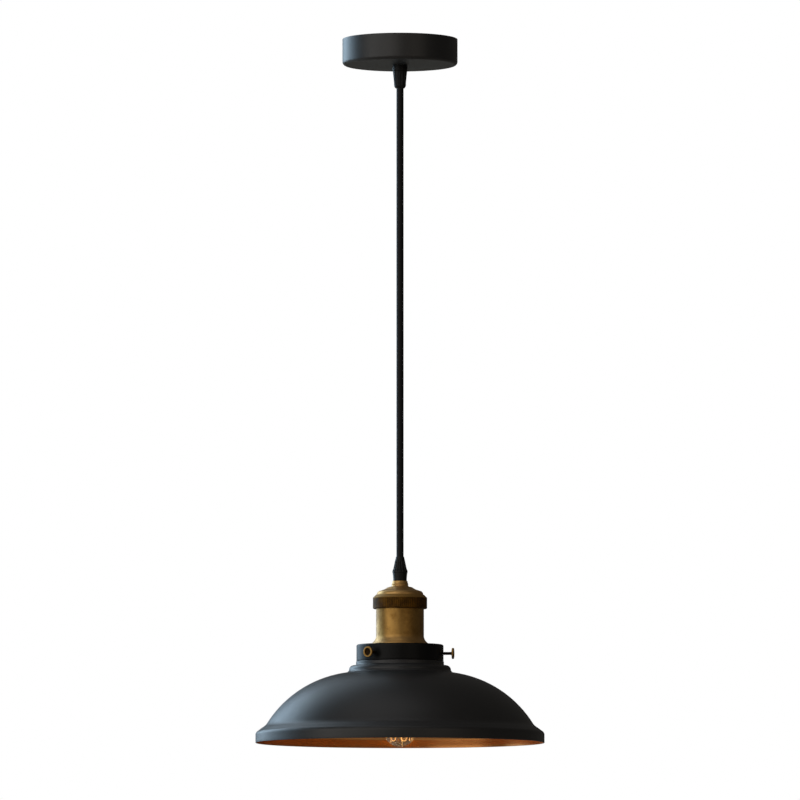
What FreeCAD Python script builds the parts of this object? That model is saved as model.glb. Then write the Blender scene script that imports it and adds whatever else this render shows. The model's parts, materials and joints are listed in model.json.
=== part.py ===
import FreeCAD, Part
import Sketcher
import math
import os

# Pendant ceiling light: a black cup on the ceiling, a straight round cable, a brass E27 lampholder
# and a spun shade held in a flat gallery by three thumbscrews.
# Millimetres. +Z is up and the ceiling is the plane Z = 0, so most heights here are depths below it.

Vector = FreeCAD.Vector
doc = FreeCAD.newDocument("PendantLight")

DIMENSIONS = {
    # canopy
    "canopyRad": 56.1, "canopyDeep": 25.5, "canopyWall": 1.0, "canopyCorner": 3.4,
    # ceiling strap
    "strapReach": 53.5, "strapThick": 2.0, "strapWide": 20.0, "earDrop": 15.0, "earBend": 3.5,
    "slotSpread": 76.0, "slotLong": 14.0, "slotWide": 4.5, "entryRad": 8.0, "sideScrewDepth": 9.0,
    # cable and its cores
    "cableRad": 3.5, "coreRad": 1.1, "sheathTop": 16.0,
    "frontPivot": 58.0, "sidePivot": 82.0, "bendGap": 3.7, "linkGap": 0.2, "sheathEnd": 534.0,
    # cord grips
    "gripBore": 3.6, "stubRad": 5.0, "gripFlange": 7.2, "topMouth": 47.9,
    "lowMouth": 505.0, "lowSeat": 528.5,
    # lampholder
    "domeRad": 22.5, "domeTop": 534.7, "ringTop": 542.0, "ringRad": 26.3, "ringEnd": 555.7,
    "holderRad": 23.2, "holderWall": 1.1, "joinLine": 549.2,
    "sleeveRad": 20.0, "sleeveEnd": 602.0, "insertTop": 551.0, "insertEnd": 561.0,
    "threadPitch": 3.629, "socketRad": 13.4,
    # gallery and thumbscrews
    "galleryTop": 590.4, "galleryRad": 42.2, "galleryWall": 1.5, "galleryEnd": 606.3,
    "screwDepth": 599.2, "screwRad": 1.5, "screwTip": 40.5, "headFace": 50.7, "headRad": 5.35,
    "headThick": 1.9, "screwTurn": -6.7,
    # shade
    "neckRad": 40.4, "neckTop": 592.8, "collarRad": 42.6, "shoulderRad": 49.4,
    "domeSweep": 106.6, "domeAcross": 38.5, "domeDown": 723.4, "rimRad": 140.0,
    "rimEnd": 685.7, "shadeWall": 1.0,
    # bulb
    "bulbTop": 559.4, "bulbEnd": 689.4, "glassRad": 16.0, "glassWall": 1.0, "capRoot": 12.2,
}


class Size:
    # A length carried as a number together with the sheet formula that gives it.
    def __init__(self, value, text):
        self.value, self.text = float(value), text

    def join(self, other, sign, swap=False):
        other = size(other)
        a, b = (other, self) if swap else (self, other)
        value = {"+": a.value + b.value, "-": a.value - b.value, "*": a.value * b.value}[sign]
        return Size(value, "(%s %s %s)" % (a.text, sign, b.text))

    def __add__(self, other):
        return self.join(other, "+")

    def __radd__(self, other):
        return self.join(other, "+", True)

    def __sub__(self, other):
        return self.join(other, "-")

    def __rsub__(self, other):
        return self.join(other, "-", True)

    def __mul__(self, other):
        return self.join(other, "*")

    def __rmul__(self, other):
        return self.join(other, "*", True)

    def __neg__(self):
        return self.join(0, "-", True)


def size(x):
    return x if isinstance(x, Size) else Size(x, repr(float(x)))


class Sheet:
    # The driving dimensions: one row for each, its name in column A and its number in column B.
    def __init__(self, values):
        self.cells = doc.addObject("Spreadsheet::Sheet", "Dims")
        for row, (alias, number) in enumerate(values.items(), 1):
            self.cells.set("A%d" % row, alias)
            self.cells.set("B%d" % row, str(number))
            self.cells.setAlias("B%d" % row, alias)
            setattr(self, alias, Size(number, "Dims." + alias))
        doc.recompute()


d = Sheet(DIMENSIONS)
nodes = []


def finished(piece, name):
    # Marks an object as a finished sub-part, whose label names its file.
    piece.Label = name
    nodes.append(piece)
    return piece


# ---- drawing ---------------------------------------------------------------------------------

def pin(sketch, entity, end, across, up):
    # Holds one point of a sketch at (across, up), each bound to its own formula.
    for kind, axis, value in (("DistanceX", -2, across), ("DistanceY", -1, up)):
        if value.value == 0:
            sketch.addConstraint(Sketcher.Constraint("PointOnObject", entity, end, axis))
            continue
        row = sketch.addConstraint(Sketcher.Constraint(kind, -1, 1, entity, end, value.value))
        sketch.setExpression("Constraints[%d]" % row, value.text)


def draw(sketch, outline, closed=True):
    # An outline is a list of points. A third number on a point is the radius of the arc that
    # arrives there, positive when it turns left on the way and negative when it turns right.
    points = [(size(p[0]), size(p[1]), size(p[2]) if len(p) > 2 else None) for p in outline]
    steps = list(zip(points, points[1:] + points[:1])) if closed else list(zip(points, points[1:]))
    ends, shapes, bends = [], [], []
    for (px, py, _), (qx, qy, bend) in steps:
        p, q = Vector(px.value, py.value, 0), Vector(qx.value, qy.value, 0)
        if bend is None:
            shapes.append(Part.LineSegment(p, q))
            ends.append((1, 2))
        else:
            reach, side = abs(bend.value), math.copysign(1, bend.value)
            chord = q - p
            left = Vector(-chord.y, chord.x, 0).normalize()
            centre = (p + q) * 0.5 + left * side * math.sqrt(max(reach**2 - (chord.Length / 2) ** 2, 0))
            first, last = (p, q) if side > 0 else (q, p)
            begin, stop = (math.atan2(v.y - centre.y, v.x - centre.x) for v in (first, last))
            stop += 2 * math.pi if stop < begin else 0
            shapes.append(Part.ArcOfCircle(Part.Circle(centre, Vector(0, 0, 1), reach), begin, stop))
            ends.append((1, 2) if side > 0 else (2, 1))
            bends.append((len(shapes) - 1, bend if side > 0 else -bend))
    sketch.addGeometry(shapes, False)
    count = len(shapes)
    sketch.addConstraint([
        Sketcher.Constraint("Coincident", i, ends[i][1], (i + 1) % count, ends[(i + 1) % count][0])
        for i in range(count if closed else count - 1)
    ])
    for i, (start, stop) in enumerate(steps):
        pin(sketch, i, ends[i][0], start[0], start[1])
    if not closed:
        pin(sketch, count - 1, ends[-1][1], steps[-1][1][0], steps[-1][1][1])
    for entity, bend in bends:
        row = sketch.addConstraint(Sketcher.Constraint("Radius", entity, bend.value))
        sketch.setExpression("Constraints[%d]" % row, bend.text)


def new_body(name):
    return doc.addObject("PartDesign::Body", name)


def sketch_on(body, role, name):
    # A sketch on one of the body's own origin planes.
    sketch = body.newObject("Sketcher::SketchObject", name)
    plane = [f for f in body.Origin.OriginFeatures if f.Role == role][0]
    sketch.AttachmentSupport = [(plane, "")]
    sketch.MapMode = "FlatFace"
    return sketch


def turned(name, outline, keep=True):
    # A solid of revolution about Z, from a closed outline of (radius, height) points.
    body = new_body(name if keep else name + "_body")
    sketch = sketch_on(body, "XZ_Plane", name + "_outline")
    draw(sketch, outline)
    feature = body.newObject("PartDesign::Revolution", name + "_turn")
    feature.Profile = sketch
    feature.ReferenceAxis = (sketch, ["V_Axis"])
    feature.Angle = 360
    return finished(body, name) if keep else body


def spun(name, outline, wall, keep=True):
    # Sheet metal spun about Z: an open outline of its outer face, thickened inwards by the wall.
    sketch = doc.addObject("Sketcher::SketchObject", name + "_line")
    sketch.Placement = FreeCAD.Placement(Vector(), FreeCAD.Rotation(Vector(1, 0, 0), 90))
    draw(sketch, outline, closed=False)
    skin = doc.addObject("Part::Offset2D", name + "_skin")
    skin.Source, skin.Fill, skin.Mode = sketch, True, "Skin"
    skin.setExpression("Value", (-wall).text)
    solid = doc.addObject("Part::Revolution", name if keep else name + "_spun")
    solid.Source, solid.Axis, solid.Angle, solid.Solid = skin, Vector(0, 0, 1), 360, True
    return finished(solid, name) if keep else solid


AXES = {"X": Vector(1, 0, 0), "Y": Vector(0, 1, 0), "Z": Vector(0, 0, 1), "down": Vector(0, 0, -1)}


def put(piece, at, along="Z"):
    # Places a piece with its own Z along the given direction, its base bound to the sheet.
    direction = AXES[along] if isinstance(along, str) else along
    piece.Placement = FreeCAD.Placement(Vector(), FreeCAD.Rotation(Vector(0, 0, 1), direction))
    for letter, value in zip("xyz", at):
        value = size(value)
        setattr(piece.Placement.Base, letter, value.value)
        piece.setExpression("Placement.Base." + letter, value.text)
    return piece


def rod(name, radius, length, at, along="Z"):
    piece = doc.addObject("Part::Cylinder", name)
    piece.setExpression("Radius", size(radius).text)
    piece.setExpression("Height", size(length).text)
    return put(piece, at, along)


def block(name, sizes, at, along="Z"):
    piece = doc.addObject("Part::Box", name)
    for side, value in zip(("Length", "Width", "Height"), sizes):
        piece.setExpression(side, size(value).text)
    return put(piece, at, along)


def hexagon(name, flats, height, at, along="Z"):
    piece = doc.addObject("Part::Prism", name)
    piece.Polygon = 6
    piece.setExpression("Circumradius", (size(flats) * (1 / math.sqrt(3))).text)
    piece.setExpression("Height", size(height).text)
    return put(piece, at, along)


def ball(name, radius, at):
    piece = doc.addObject("Part::Sphere", name)
    piece.setExpression("Radius", size(radius).text)
    return put(piece, at)


def cut(name, base, tools, keep=False):
    # The base less its tools, which are first gathered where there is more than one.
    tool = tools[0] if len(tools) == 1 else group(name + "_tools", tools)
    piece = doc.addObject("Part::Cut", name)
    piece.Base, piece.Tool = base, tool
    return finished(piece, name) if keep else piece


def fuse(name, parts, keep=False):
    piece = doc.addObject("Part::MultiFuse", name)
    piece.Shapes = parts
    return finished(piece, name) if keep else piece


def group(name, parts, keep=False):
    piece = doc.addObject("Part::Compound", name)
    piece.Links = parts
    return finished(piece, name) if keep else piece


SLOT_WIDE, SLOT_DEEP = 0.7, 0.8     # a screwdriver's slot


def screw(name, head_rad, shank, at, along="Z", head_high=2.0):
    # A slotted pan-head screw. Its head stands out from the given point along the direction,
    # and its shank, given as (radius, length), runs back from there.
    direction = AXES[along]
    blank = fuse(name + "_blank", [
        rod(name + "_shank", shank[0], shank[1], at, -direction),
        rod(name + "_head", head_rad, head_high, at, direction),
    ])
    long = 2.4 * head_rad
    turn = FreeCAD.Rotation(Vector(0, 0, 1), direction)
    corner = turn.multVec(Vector(-0.5 * long, -0.5 * SLOT_WIDE, head_high - SLOT_DEEP))
    groove = block(name + "_slot", (long, SLOT_WIDE, 2 * SLOT_DEEP),
                   [size(base) + shift for base, shift in zip(at, corner)], direction)
    return cut(name, blank, [groove])


def bent_path(points):
    # Straight runs joined by tangent arcs, each as large as its two runs allow.
    points = [Vector(*[size(c).value for c in p]) for p in points]
    edges, start = [], points[0]
    for before, corner, after in zip(points, points[1:], points[2:]):
        back, ahead = (before - corner), (after - corner)
        shorter = min(back.Length, ahead.Length)
        back.normalize(), ahead.normalize()
        half = (math.pi - back.getAngle(ahead)) / 2
        tangent = 0.45 * shorter
        radius = tangent / math.tan(half)
        enter, leave = corner + back * tangent, corner + ahead * tangent
        inward = (back + ahead).normalize()
        middle = corner + inward * (radius / math.cos(half) - radius)
        edges.append(Part.LineSegment(start, enter).toShape())
        edges.append(Part.Arc(enter, middle, leave).toShape())
        start = leave
    edges.append(Part.LineSegment(start, points[-1]).toShape())
    return Part.Wire(edges)


def wire_solid(path, radius):
    # A round section swept along the path.
    edge = path.Edges[0]
    start, way = edge.Vertexes[0].Point, edge.tangentAt(edge.FirstParameter)
    ring = Part.Wire(Part.Circle(start, way, radius).toShape())
    solid = path.makePipeShell([ring], True, False)
    expected = math.pi * radius**2 * path.Length
    assert abs(solid.Volume - expected) < 0.03 * expected, (solid.Volume, expected)
    return solid


def laid_wire(name, points, radius):
    # A conductor: its route is bent, so its solid is swept by Part's own functions.
    piece = doc.addObject("Part::Feature", name)
    piece.Shape = wire_solid(bent_path(points), size(radius).value)
    return finished(piece, name)


# ---- ceiling strap and canopy ----------------------------------------------------------------

M4_TAP = 2.05       # radius of a hole threaded for an M4 screw
EARTH_X = -22.0     # the earth screw's place along the strap
BLOCK_SCREW_X = 20.5


def ceiling_bracket():
    # A steel strap with two ears turned down at its ends, slots for the ceiling screws and a
    # round way in for the supply cable.
    reach, thick, drop, bend = d.strapReach, d.strapThick, d.earDrop, d.earBend
    body = new_body("ceiling_bracket")
    profile = sketch_on(body, "XZ_Plane", "bracket_profile")
    draw(profile, [
        (-(reach - bend), 0), (-reach, -bend, bend), (-reach, -drop), (-(reach - thick), -drop),
        (-(reach - thick), -bend), (-(reach - bend), -thick, -(bend - thick)),
        (reach - bend, -thick), (reach - thick, -bend, -(bend - thick)), (reach - thick, -drop),
        (reach, -drop), (reach, -bend), (reach - bend, 0, bend),
    ])
    strap = body.newObject("PartDesign::Pad", "bracket_strap")
    strap.Profile = profile
    strap.SideType = "Symmetric"
    strap.setExpression("Length", d.strapWide.text)
    doc.recompute()

    holes = sketch_on(body, "XY_Plane", "bracket_holes")
    half, run = 0.5 * d.slotWide, 0.5 * d.slotLong
    for side in (-1, 1):
        middle = 0.5 * side * d.slotSpread
        slot_outline(holes, holes.GeometryCount, middle, run, half)
    for across, radius in ((0, d.entryRad), (EARTH_X, size(M4_TAP)), (BLOCK_SCREW_X, size(1.5))):
        entity = holes.addGeometry(Part.Circle(Vector(across, 0, 0), Vector(0, 0, 1), radius.value))
        pin(holes, entity, 3, size(across), size(0))
        row = holes.addConstraint(Sketcher.Constraint("Radius", entity, radius.value))
        holes.setExpression("Constraints[%d]" % row, radius.text)
    slots = body.newObject("PartDesign::Pocket", "bracket_slots")
    slots.Profile = holes
    slots.setExpression("Length", (1.5 * d.strapThick).text)
    doc.recompute()

    threads = sketch_on(body, "YZ_Plane", "bracket_threads")
    entity = threads.addGeometry(Part.Circle(Vector(0, -d.sideScrewDepth.value, 0), Vector(0, 0, 1), M4_TAP))
    pin(threads, entity, 3, size(0), -d.sideScrewDepth)
    threads.addConstraint(Sketcher.Constraint("Radius", entity, M4_TAP))
    ears = body.newObject("PartDesign::Pocket", "bracket_ear_threads")
    ears.Profile = threads
    ears.SideType = "Symmetric"
    ears.setExpression("Length", (2.2 * d.strapReach).text)
    doc.recompute()
    assert slots.Shape.Volume < strap.Shape.Volume - 400 and ears.Shape.Volume < slots.Shape.Volume - 40
    return finished(body, "ceiling_bracket")


def slot_outline(sketch, first, middle, run, half):
    # A round-ended slot along X, centred at the given distance from the lamp's axis.
    left, right = middle - run + half, middle + run - half
    a, b, r = left.value, right.value, half.value
    sketch.addGeometry([
        Part.LineSegment(Vector(a, -r, 0), Vector(b, -r, 0)),
        Part.ArcOfCircle(Part.Circle(Vector(b, 0, 0), Vector(0, 0, 1), r), -math.pi / 2, math.pi / 2),
        Part.LineSegment(Vector(b, r, 0), Vector(a, r, 0)),
        Part.ArcOfCircle(Part.Circle(Vector(a, 0, 0), Vector(0, 0, 1), r), math.pi / 2, 3 * math.pi / 2),
    ], False)
    sketch.addConstraint([
        Sketcher.Constraint("Tangent", first + i, 2, first + (i + 1) % 4, 1) for i in range(4)
    ])
    pin(sketch, first + 1, 3, right, size(0))
    pin(sketch, first + 3, 3, left, size(0))
    row = sketch.addConstraint(Sketcher.Constraint("Radius", first + 1, r))
    sketch.setExpression("Constraints[%d]" % row, half.text)


def canopy():
    # A spun cup, open at the ceiling, with a hole for the cord grip and two for the side screws.
    cup = spun("canopy", [
        (d.canopyRad, 0), (d.canopyRad, d.canopyCorner - d.canopyDeep),
        (d.canopyRad - d.canopyCorner, -d.canopyDeep, -d.canopyCorner), (d.stubRad + 0.15, -d.canopyDeep),
    ], d.canopyWall, keep=False)
    side = rod("canopy_side_holes", 2.3, 2.2 * d.canopyRad,
               (-1.1 * d.canopyRad, 0, -d.sideScrewDepth), "X")
    return cut("canopy", cup, [side], keep=True)


def side_screws():
    # Headless socket screws in the ears, wound outwards so that their ends sit in the canopy.
    pair = []
    for side, way in ((1, "X"), (-1, Vector(-1, 0, 0))):
        start = side * (d.strapReach - 5.0)
        tag = "right" if side > 0 else "left"
        shank = rod("grub_" + tag, 2.0, 7.3, (start, 0, -d.sideScrewDepth), way)
        socket = hexagon("grub_socket_" + tag, 2.0, 3.0, (start + side * 5.0, 0, -d.sideScrewDepth), way)
        pair.append(cut("grub_screw_" + tag, shank, [socket]))
    return group("canopy_side_screws", pair, keep=True)


# ---- supply connections inside the canopy ------------------------------------------------------

POLE = 5.0          # distance of each terminal's centre from the middle of the block
BLOCK_X = 12.0      # face of the block nearest the cable
BARREL_DEEP = 9.5   # height of the terminals below the ceiling
PEN_X = (15.5, 25.5)  # the two clamp screws of each terminal, along X


def terminal_block():
    # A white two-way block under the strap, its brass barrels and their clamp screws.
    shell = block("terminal_housing", (17, 22, 13.8), (BLOCK_X, -11, -16.1))
    bores = [rod("pole_bore_%d" % i, 2.7, 19, (BLOCK_X - 1, y, -BARREL_DEEP), "X")
             for i, y in enumerate((-POLE, POLE))]
    wells = [rod("screw_well_%d%d" % (i, k), 1.8, 7, (x, y, -16.6))
             for i, y in enumerate((-POLE, POLE)) for k, x in enumerate(PEN_X)]
    middle = rod("block_fixing_bore", 1.6, 16, (BLOCK_SCREW_X, 0, -17))
    cut("terminal_block", shell, bores + wells + [middle], keep=True)
    barrels = []
    for i, y in enumerate((-POLE, POLE)):
        tube = rod("barrel_out_%d" % i, 2.6, 15, (13, y, -BARREL_DEEP), "X")
        bore = rod("barrel_in_%d" % i, 1.7, 17, (12, y, -BARREL_DEEP), "X")
        taps = [rod("barrel_tap_%d%d" % (i, k), 1.35, 4, (x, y, -BARREL_DEEP - 4))
                for k, x in enumerate(PEN_X)]
        barrels.append(cut("barrel_%d" % i, tube, [bore] + taps))
    group("terminal_barrels", barrels, keep=True)
    screws = [screw("clamp_%d%d" % (i, k), 1.6, (1.3, 2.4), (x, y, -BARREL_DEEP - 3.6), "down", head_high=2.2)
              for i, y in enumerate((-POLE, POLE)) for k, x in enumerate(PEN_X)]
    group("terminal_clamp_screws", screws, keep=True)
    fixing = screw("block_screw", 2.8, (1.45, 15.8), (BLOCK_SCREW_X, 0, -16.15), "down", head_high=1.8)
    return finished(fixing, "terminal_fixing_screw")


def earth_point():
    # The earth screw of the strap and the ring terminal that it clamps.
    post = screw("earth_post", 3.8, (1.98, 2.7), (EARTH_X, 0, -2.85), "down", head_high=2.2)
    finished(post, "earth_screw")
    ring = rod("ring_plate", 4.0, 0.75, (EARTH_X, 0, -2.8))
    tongue = block("ring_tongue", (5.5, 3.2, 0.75), (EARTH_X + 2, -1.6, -2.8))
    barrel = rod("ring_crimp", 1.75, 5.5, (-15.2, 0, -3.8), "X")
    hole = rod("ring_hole", 2.1, 2, (EARTH_X, 0, -3.5))
    bore = rod("crimp_bore", 1.2, 8, (-15.3, 0, -3.8), "X")
    return cut("earth_ring_terminal", fuse("ring_blank", [ring, tongue, barrel]), [hole, bore], keep=True)


# ---- cable -------------------------------------------------------------------------------------

def cable():
    # The cable hangs straight. Two short gaps in its solid are where it flexes below the grip:
    # front to back at the upper one and side to side at the lower one.
    upper, lower = d.frontPivot, d.sidePivot
    finished(rod("cable_top", d.cableRad, upper - d.bendGap - d.sheathTop, (0, 0, -(upper - d.bendGap))),
             "cable_top")
    fuse("cable_bend", [
        rod("bend_run", d.cableRad, lower - upper, (0, 0, -lower)),
        ball("bend_upper", d.cableRad, (0, 0, -upper)), ball("bend_lower", d.cableRad, (0, 0, -lower)),
    ], keep=True)
    start = lower + d.bendGap
    finished(rod("cable", d.cableRad, d.sheathEnd - start, (0, 0, -d.sheathEnd)), "cable")


def cores():
    # The three cores, bared of the sheath at each end of the cable.
    top, end = d.sheathTop, d.sheathEnd
    for name, side in (("live", -1), ("neutral", 1)):
        y = side * 1.3
        laid_wire("top_core_" + name, [
            (0.75, y, -top), (0.75, y, -BARREL_DEEP), (9.5, side * POLE, -BARREL_DEEP),
            (17.0, side * POLE, -BARREL_DEEP)], d.coreRad)
        x, post = side * 1.3, side * POST_X
        laid_wire("lower_core_" + name, [
            (x, -0.75, -end), (x, -0.75, -(end + 5.5)), (post, 0, -(end + 8.0)), (post, 0, -(end + 14.5)),
        ], d.coreRad)
    laid_wire("top_core_earth", [
        (-1.5, 0, -top), (-1.5, 0, -9.0), (-6.5, 0, -3.8), (-14.5, 0, -3.8)], d.coreRad)
    laid_wire("lower_core_earth", [
        (0, 1.5, -end), (0, 1.5, -(end + 5.0)), (0, 7.5, -(end + 8.0)), (0, 15.0, -(end + 8.0))], d.coreRad)


# ---- cord grips ----------------------------------------------------------------------------------

def fluted(name, blank, count, groove, low, high):
    # Shallow flutes round a tapered grip: round grooves that follow its side from low to high.
    tools = []
    for i in range(count):
        turn = FreeCAD.Rotation(Vector(0, 0, 1), 360.0 * i / count)
        bottom, top = (turn.multVec(Vector(p[0], 0, p[1])) for p in (low, high))
        tool = doc.addObject("Part::Cylinder", "%s_flute_%d" % (name, i))
        tool.setExpression("Radius", size(groove).text)
        tool.Height = (top - bottom).Length
        tool.Placement = FreeCAD.Placement(bottom, FreeCAD.Rotation(Vector(0, 0, 1), top - bottom))
        tools.append(tool)
    return cut(name, blank, tools, keep=True)


def top_grip():
    # The grip under the canopy: a threaded body with a flange and collet, and its clamping cap.
    seat, mouth, bore, stub, flange = d.canopyDeep, d.topMouth, d.gripBore, d.stubRad, d.gripFlange
    turned("top_grip_body", [
        (bore, -(seat - 8.0)), (stub - 0.5, -(seat - 8.0)), (stub, -(seat - 7.5)), (stub, -seat),
        (flange - 0.2, -seat), (flange, -(seat + 0.2)), (flange, -(seat + 5.2)),
        (flange - 0.3, -(seat + 5.5)), (stub - 0.1, -(seat + 5.5)), (stub - 0.1, -(seat + 12.5)),
        (bore, -(seat + 12.5)),
    ])
    cap = turned("top_grip_cap", [
        (stub, -(seat + 5.6)), (flange - 0.2, -(seat + 5.6)), (flange - 0.3, -(seat + 6.8)),
        (5.8, -(mouth - 4.4)), (4.3, -mouth, -4.6), (bore + 0.1, -mouth),
        (bore + 0.1, -(seat + 14.5)), (stub, -(seat + 13.0)),
    ], keep=False)
    fluted("top_grip_cap", cap, 14, 0.55, (6.1, -(mouth.value - 4.2)), (7.3, -(seat.value + 5.0)))
    turned("top_grip_washer", [(stub + 0.15, -(seat - 1.0)), (stub + 0.15, -(seat - 2.0)),
                               (9.0, -(seat - 2.0)), (9.0, -(seat - 1.0))])
    nut = hexagon("grip_nut_blank", 14.0, 3.4, (0, 0, -(seat - 2.0)))
    cut("top_grip_nut", nut, [rod("grip_nut_thread", stub + 0.05, 5, (0, 0, -(seat - 1.0)))], keep=True)


def lower_grip():
    # The grip on the lampholder, its tapered cap pointing up the cable.
    mouth, seat, bore, stub = d.lowMouth, d.lowSeat, d.gripBore, d.stubRad
    cap = turned("lower_grip_cap", [
        (bore + 0.1, -mouth), (4.0, -mouth), (4.8, -(mouth + 3.4), 12.0), (6.2, -(mouth + 10.2)),
        (7.3, -(mouth + 13.4), 9.0), (7.4, -(mouth + 15.0), -3.0), (7.3, -(mouth + 15.9)),
        (stub, -(mouth + 15.9)), (stub, -(mouth + 9.5)), (bore + 0.1, -(mouth + 8.0)),
    ], keep=False)
    fluted("lower_grip_cap", cap, 14, 0.55, (7.75, -(mouth.value + 16.5)), (5.0, -(mouth.value + 2.5)))
    turned("lower_grip_body", [
        (bore, -(mouth + 10.0)), (stub - 0.1, -(mouth + 10.0)), (stub - 0.1, -(mouth + 16.0)),
        (7.1, -(mouth + 16.0)), (6.6, -(mouth + 21.0)), (6.6, -seat), (stub, -seat),
        (stub, -(seat + 8.5)), (stub - 0.5, -(seat + 9.0)), (bore, -(seat + 9.0)),
    ])


# ---- lampholder ------------------------------------------------------------------------------------

def lampholder_shell():
    # The domed cap, the dark ring that joins it to the body, and the body that ends in a sleeve.
    seat, top, join = d.lowSeat, d.domeTop, d.joinLine
    inner = d.domeRad - 1.2
    turned("lampholder_cap", [
        (d.stubRad + 0.05, -seat), (6.9, -seat), (7.3, -(seat + 0.5), -0.6), (8.1, -(seat + 3.4), 9.0),
        (9.2, -(top - 0.5), 1.6), (11.9, -(top + 0.1)), (14.9, -(top + 2.0)),
        (19.6, -(top + 3.6)), (d.domeRad, -(top + 6.8), -3.4), (d.domeRad, -(join - 0.2)),
        (inner, -(join - 0.2)), (inner, -(top + 7.0)), (18.9, -(top + 5.0), 2.4),
        (13.9, -(top + 3.2)), (d.stubRad + 0.05, -(top + 3.2)),
    ])
    ring, end = d.ringRad, d.ringEnd
    turned("lampholder_ring", [
        (d.domeRad + 0.1, -d.ringTop), (23.3, -d.ringTop), (ring - 0.8, -(d.ringTop + 2.2)),
        (ring, -(d.ringTop + 3.2), -1.4), (ring, -(end - 1.0)), (ring - 1.0, -end, -1.0),
        (d.holderRad + 0.1, -end), (d.holderRad + 0.1, -join), (d.domeRad + 0.1, -join),
    ])
    rad, wall, shelf = d.holderRad, d.holderWall, d.galleryTop
    turned("lampholder_body", [
        (rad - wall, -join), (rad, -join), (rad, -(shelf - 8.0)), (26.6, -(shelf - 1.9), 9.0),
        (27.4, -(shelf - 1.0)), (27.4, -shelf), (d.sleeveRad, -shelf), (d.sleeveRad, -d.sleeveEnd),
        (d.sleeveRad - wall, -d.sleeveEnd), (d.sleeveRad - wall, -(shelf - 1.4)),
        (rad - wall, -(shelf - 6.0), -6.5),
    ])


RIVET_X = {"live": -7.5, "neutral": 11.6}    # the rivets that carry current through the porcelain
RIVET_HOLE = 1.3
SHELL_TURNS = 6     # rings pressed in the socket's screw shell


def socket_insert():
    # The porcelain core carries the screw shell, the centre contact and the two terminals.
    top, end, reach = d.insertTop, d.insertEnd, d.holderRad - d.holderWall - 0.3
    body = turned("porcelain_body", [
        (0, -top), (reach - 1.0, -top), (reach, -(top + 1.0), -1.0), (reach, -end), (10.0, -end),
        (10.0, -(end - 4.0)), (0, -(end - 4.0)),
    ], keep=False)
    ways = [rod(pole + "_way", RIVET_HOLE, 12, (x, 0, -(end + 1.0))) for pole, x in RIVET_X.items()]
    cut("porcelain_insert", body, ways, keep=True)

    pitch, bore, wall = d.threadPitch, d.socketRad, 0.5
    bulge = 2.5
    outline = [(8.4, -end), (bore + wall, -end)]
    first = end + 2.6
    outline.append((bore + wall, -first))
    last = first + SHELL_TURNS * pitch
    for turn in range(1, SHELL_TURNS + 1):
        outline.append((bore + wall, -(first + turn * pitch), -bulge))
    outline += [(bore + wall, -(last + 1.6)), (bore, -(last + 1.6)), (bore, -last)]
    for turn in range(SHELL_TURNS - 1, -1, -1):
        outline.append((bore, -(first + turn * pitch), bulge))
    outline += [(bore, -(end + 0.6)), (8.4, -(end + 0.6))]
    shell = turned("shell_turned", outline, keep=False)
    hole = rod("shell_rivet_hole", RIVET_HOLE, 3, (RIVET_X["neutral"], 0, -(end + 1.5)))
    cut("screw_shell", shell, [hole], keep=True)


POST_X = 11.0       # distance of each terminal post from the lamp's axis
EARTH_Y = 15.5      # and of the earth post under the dome


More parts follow.
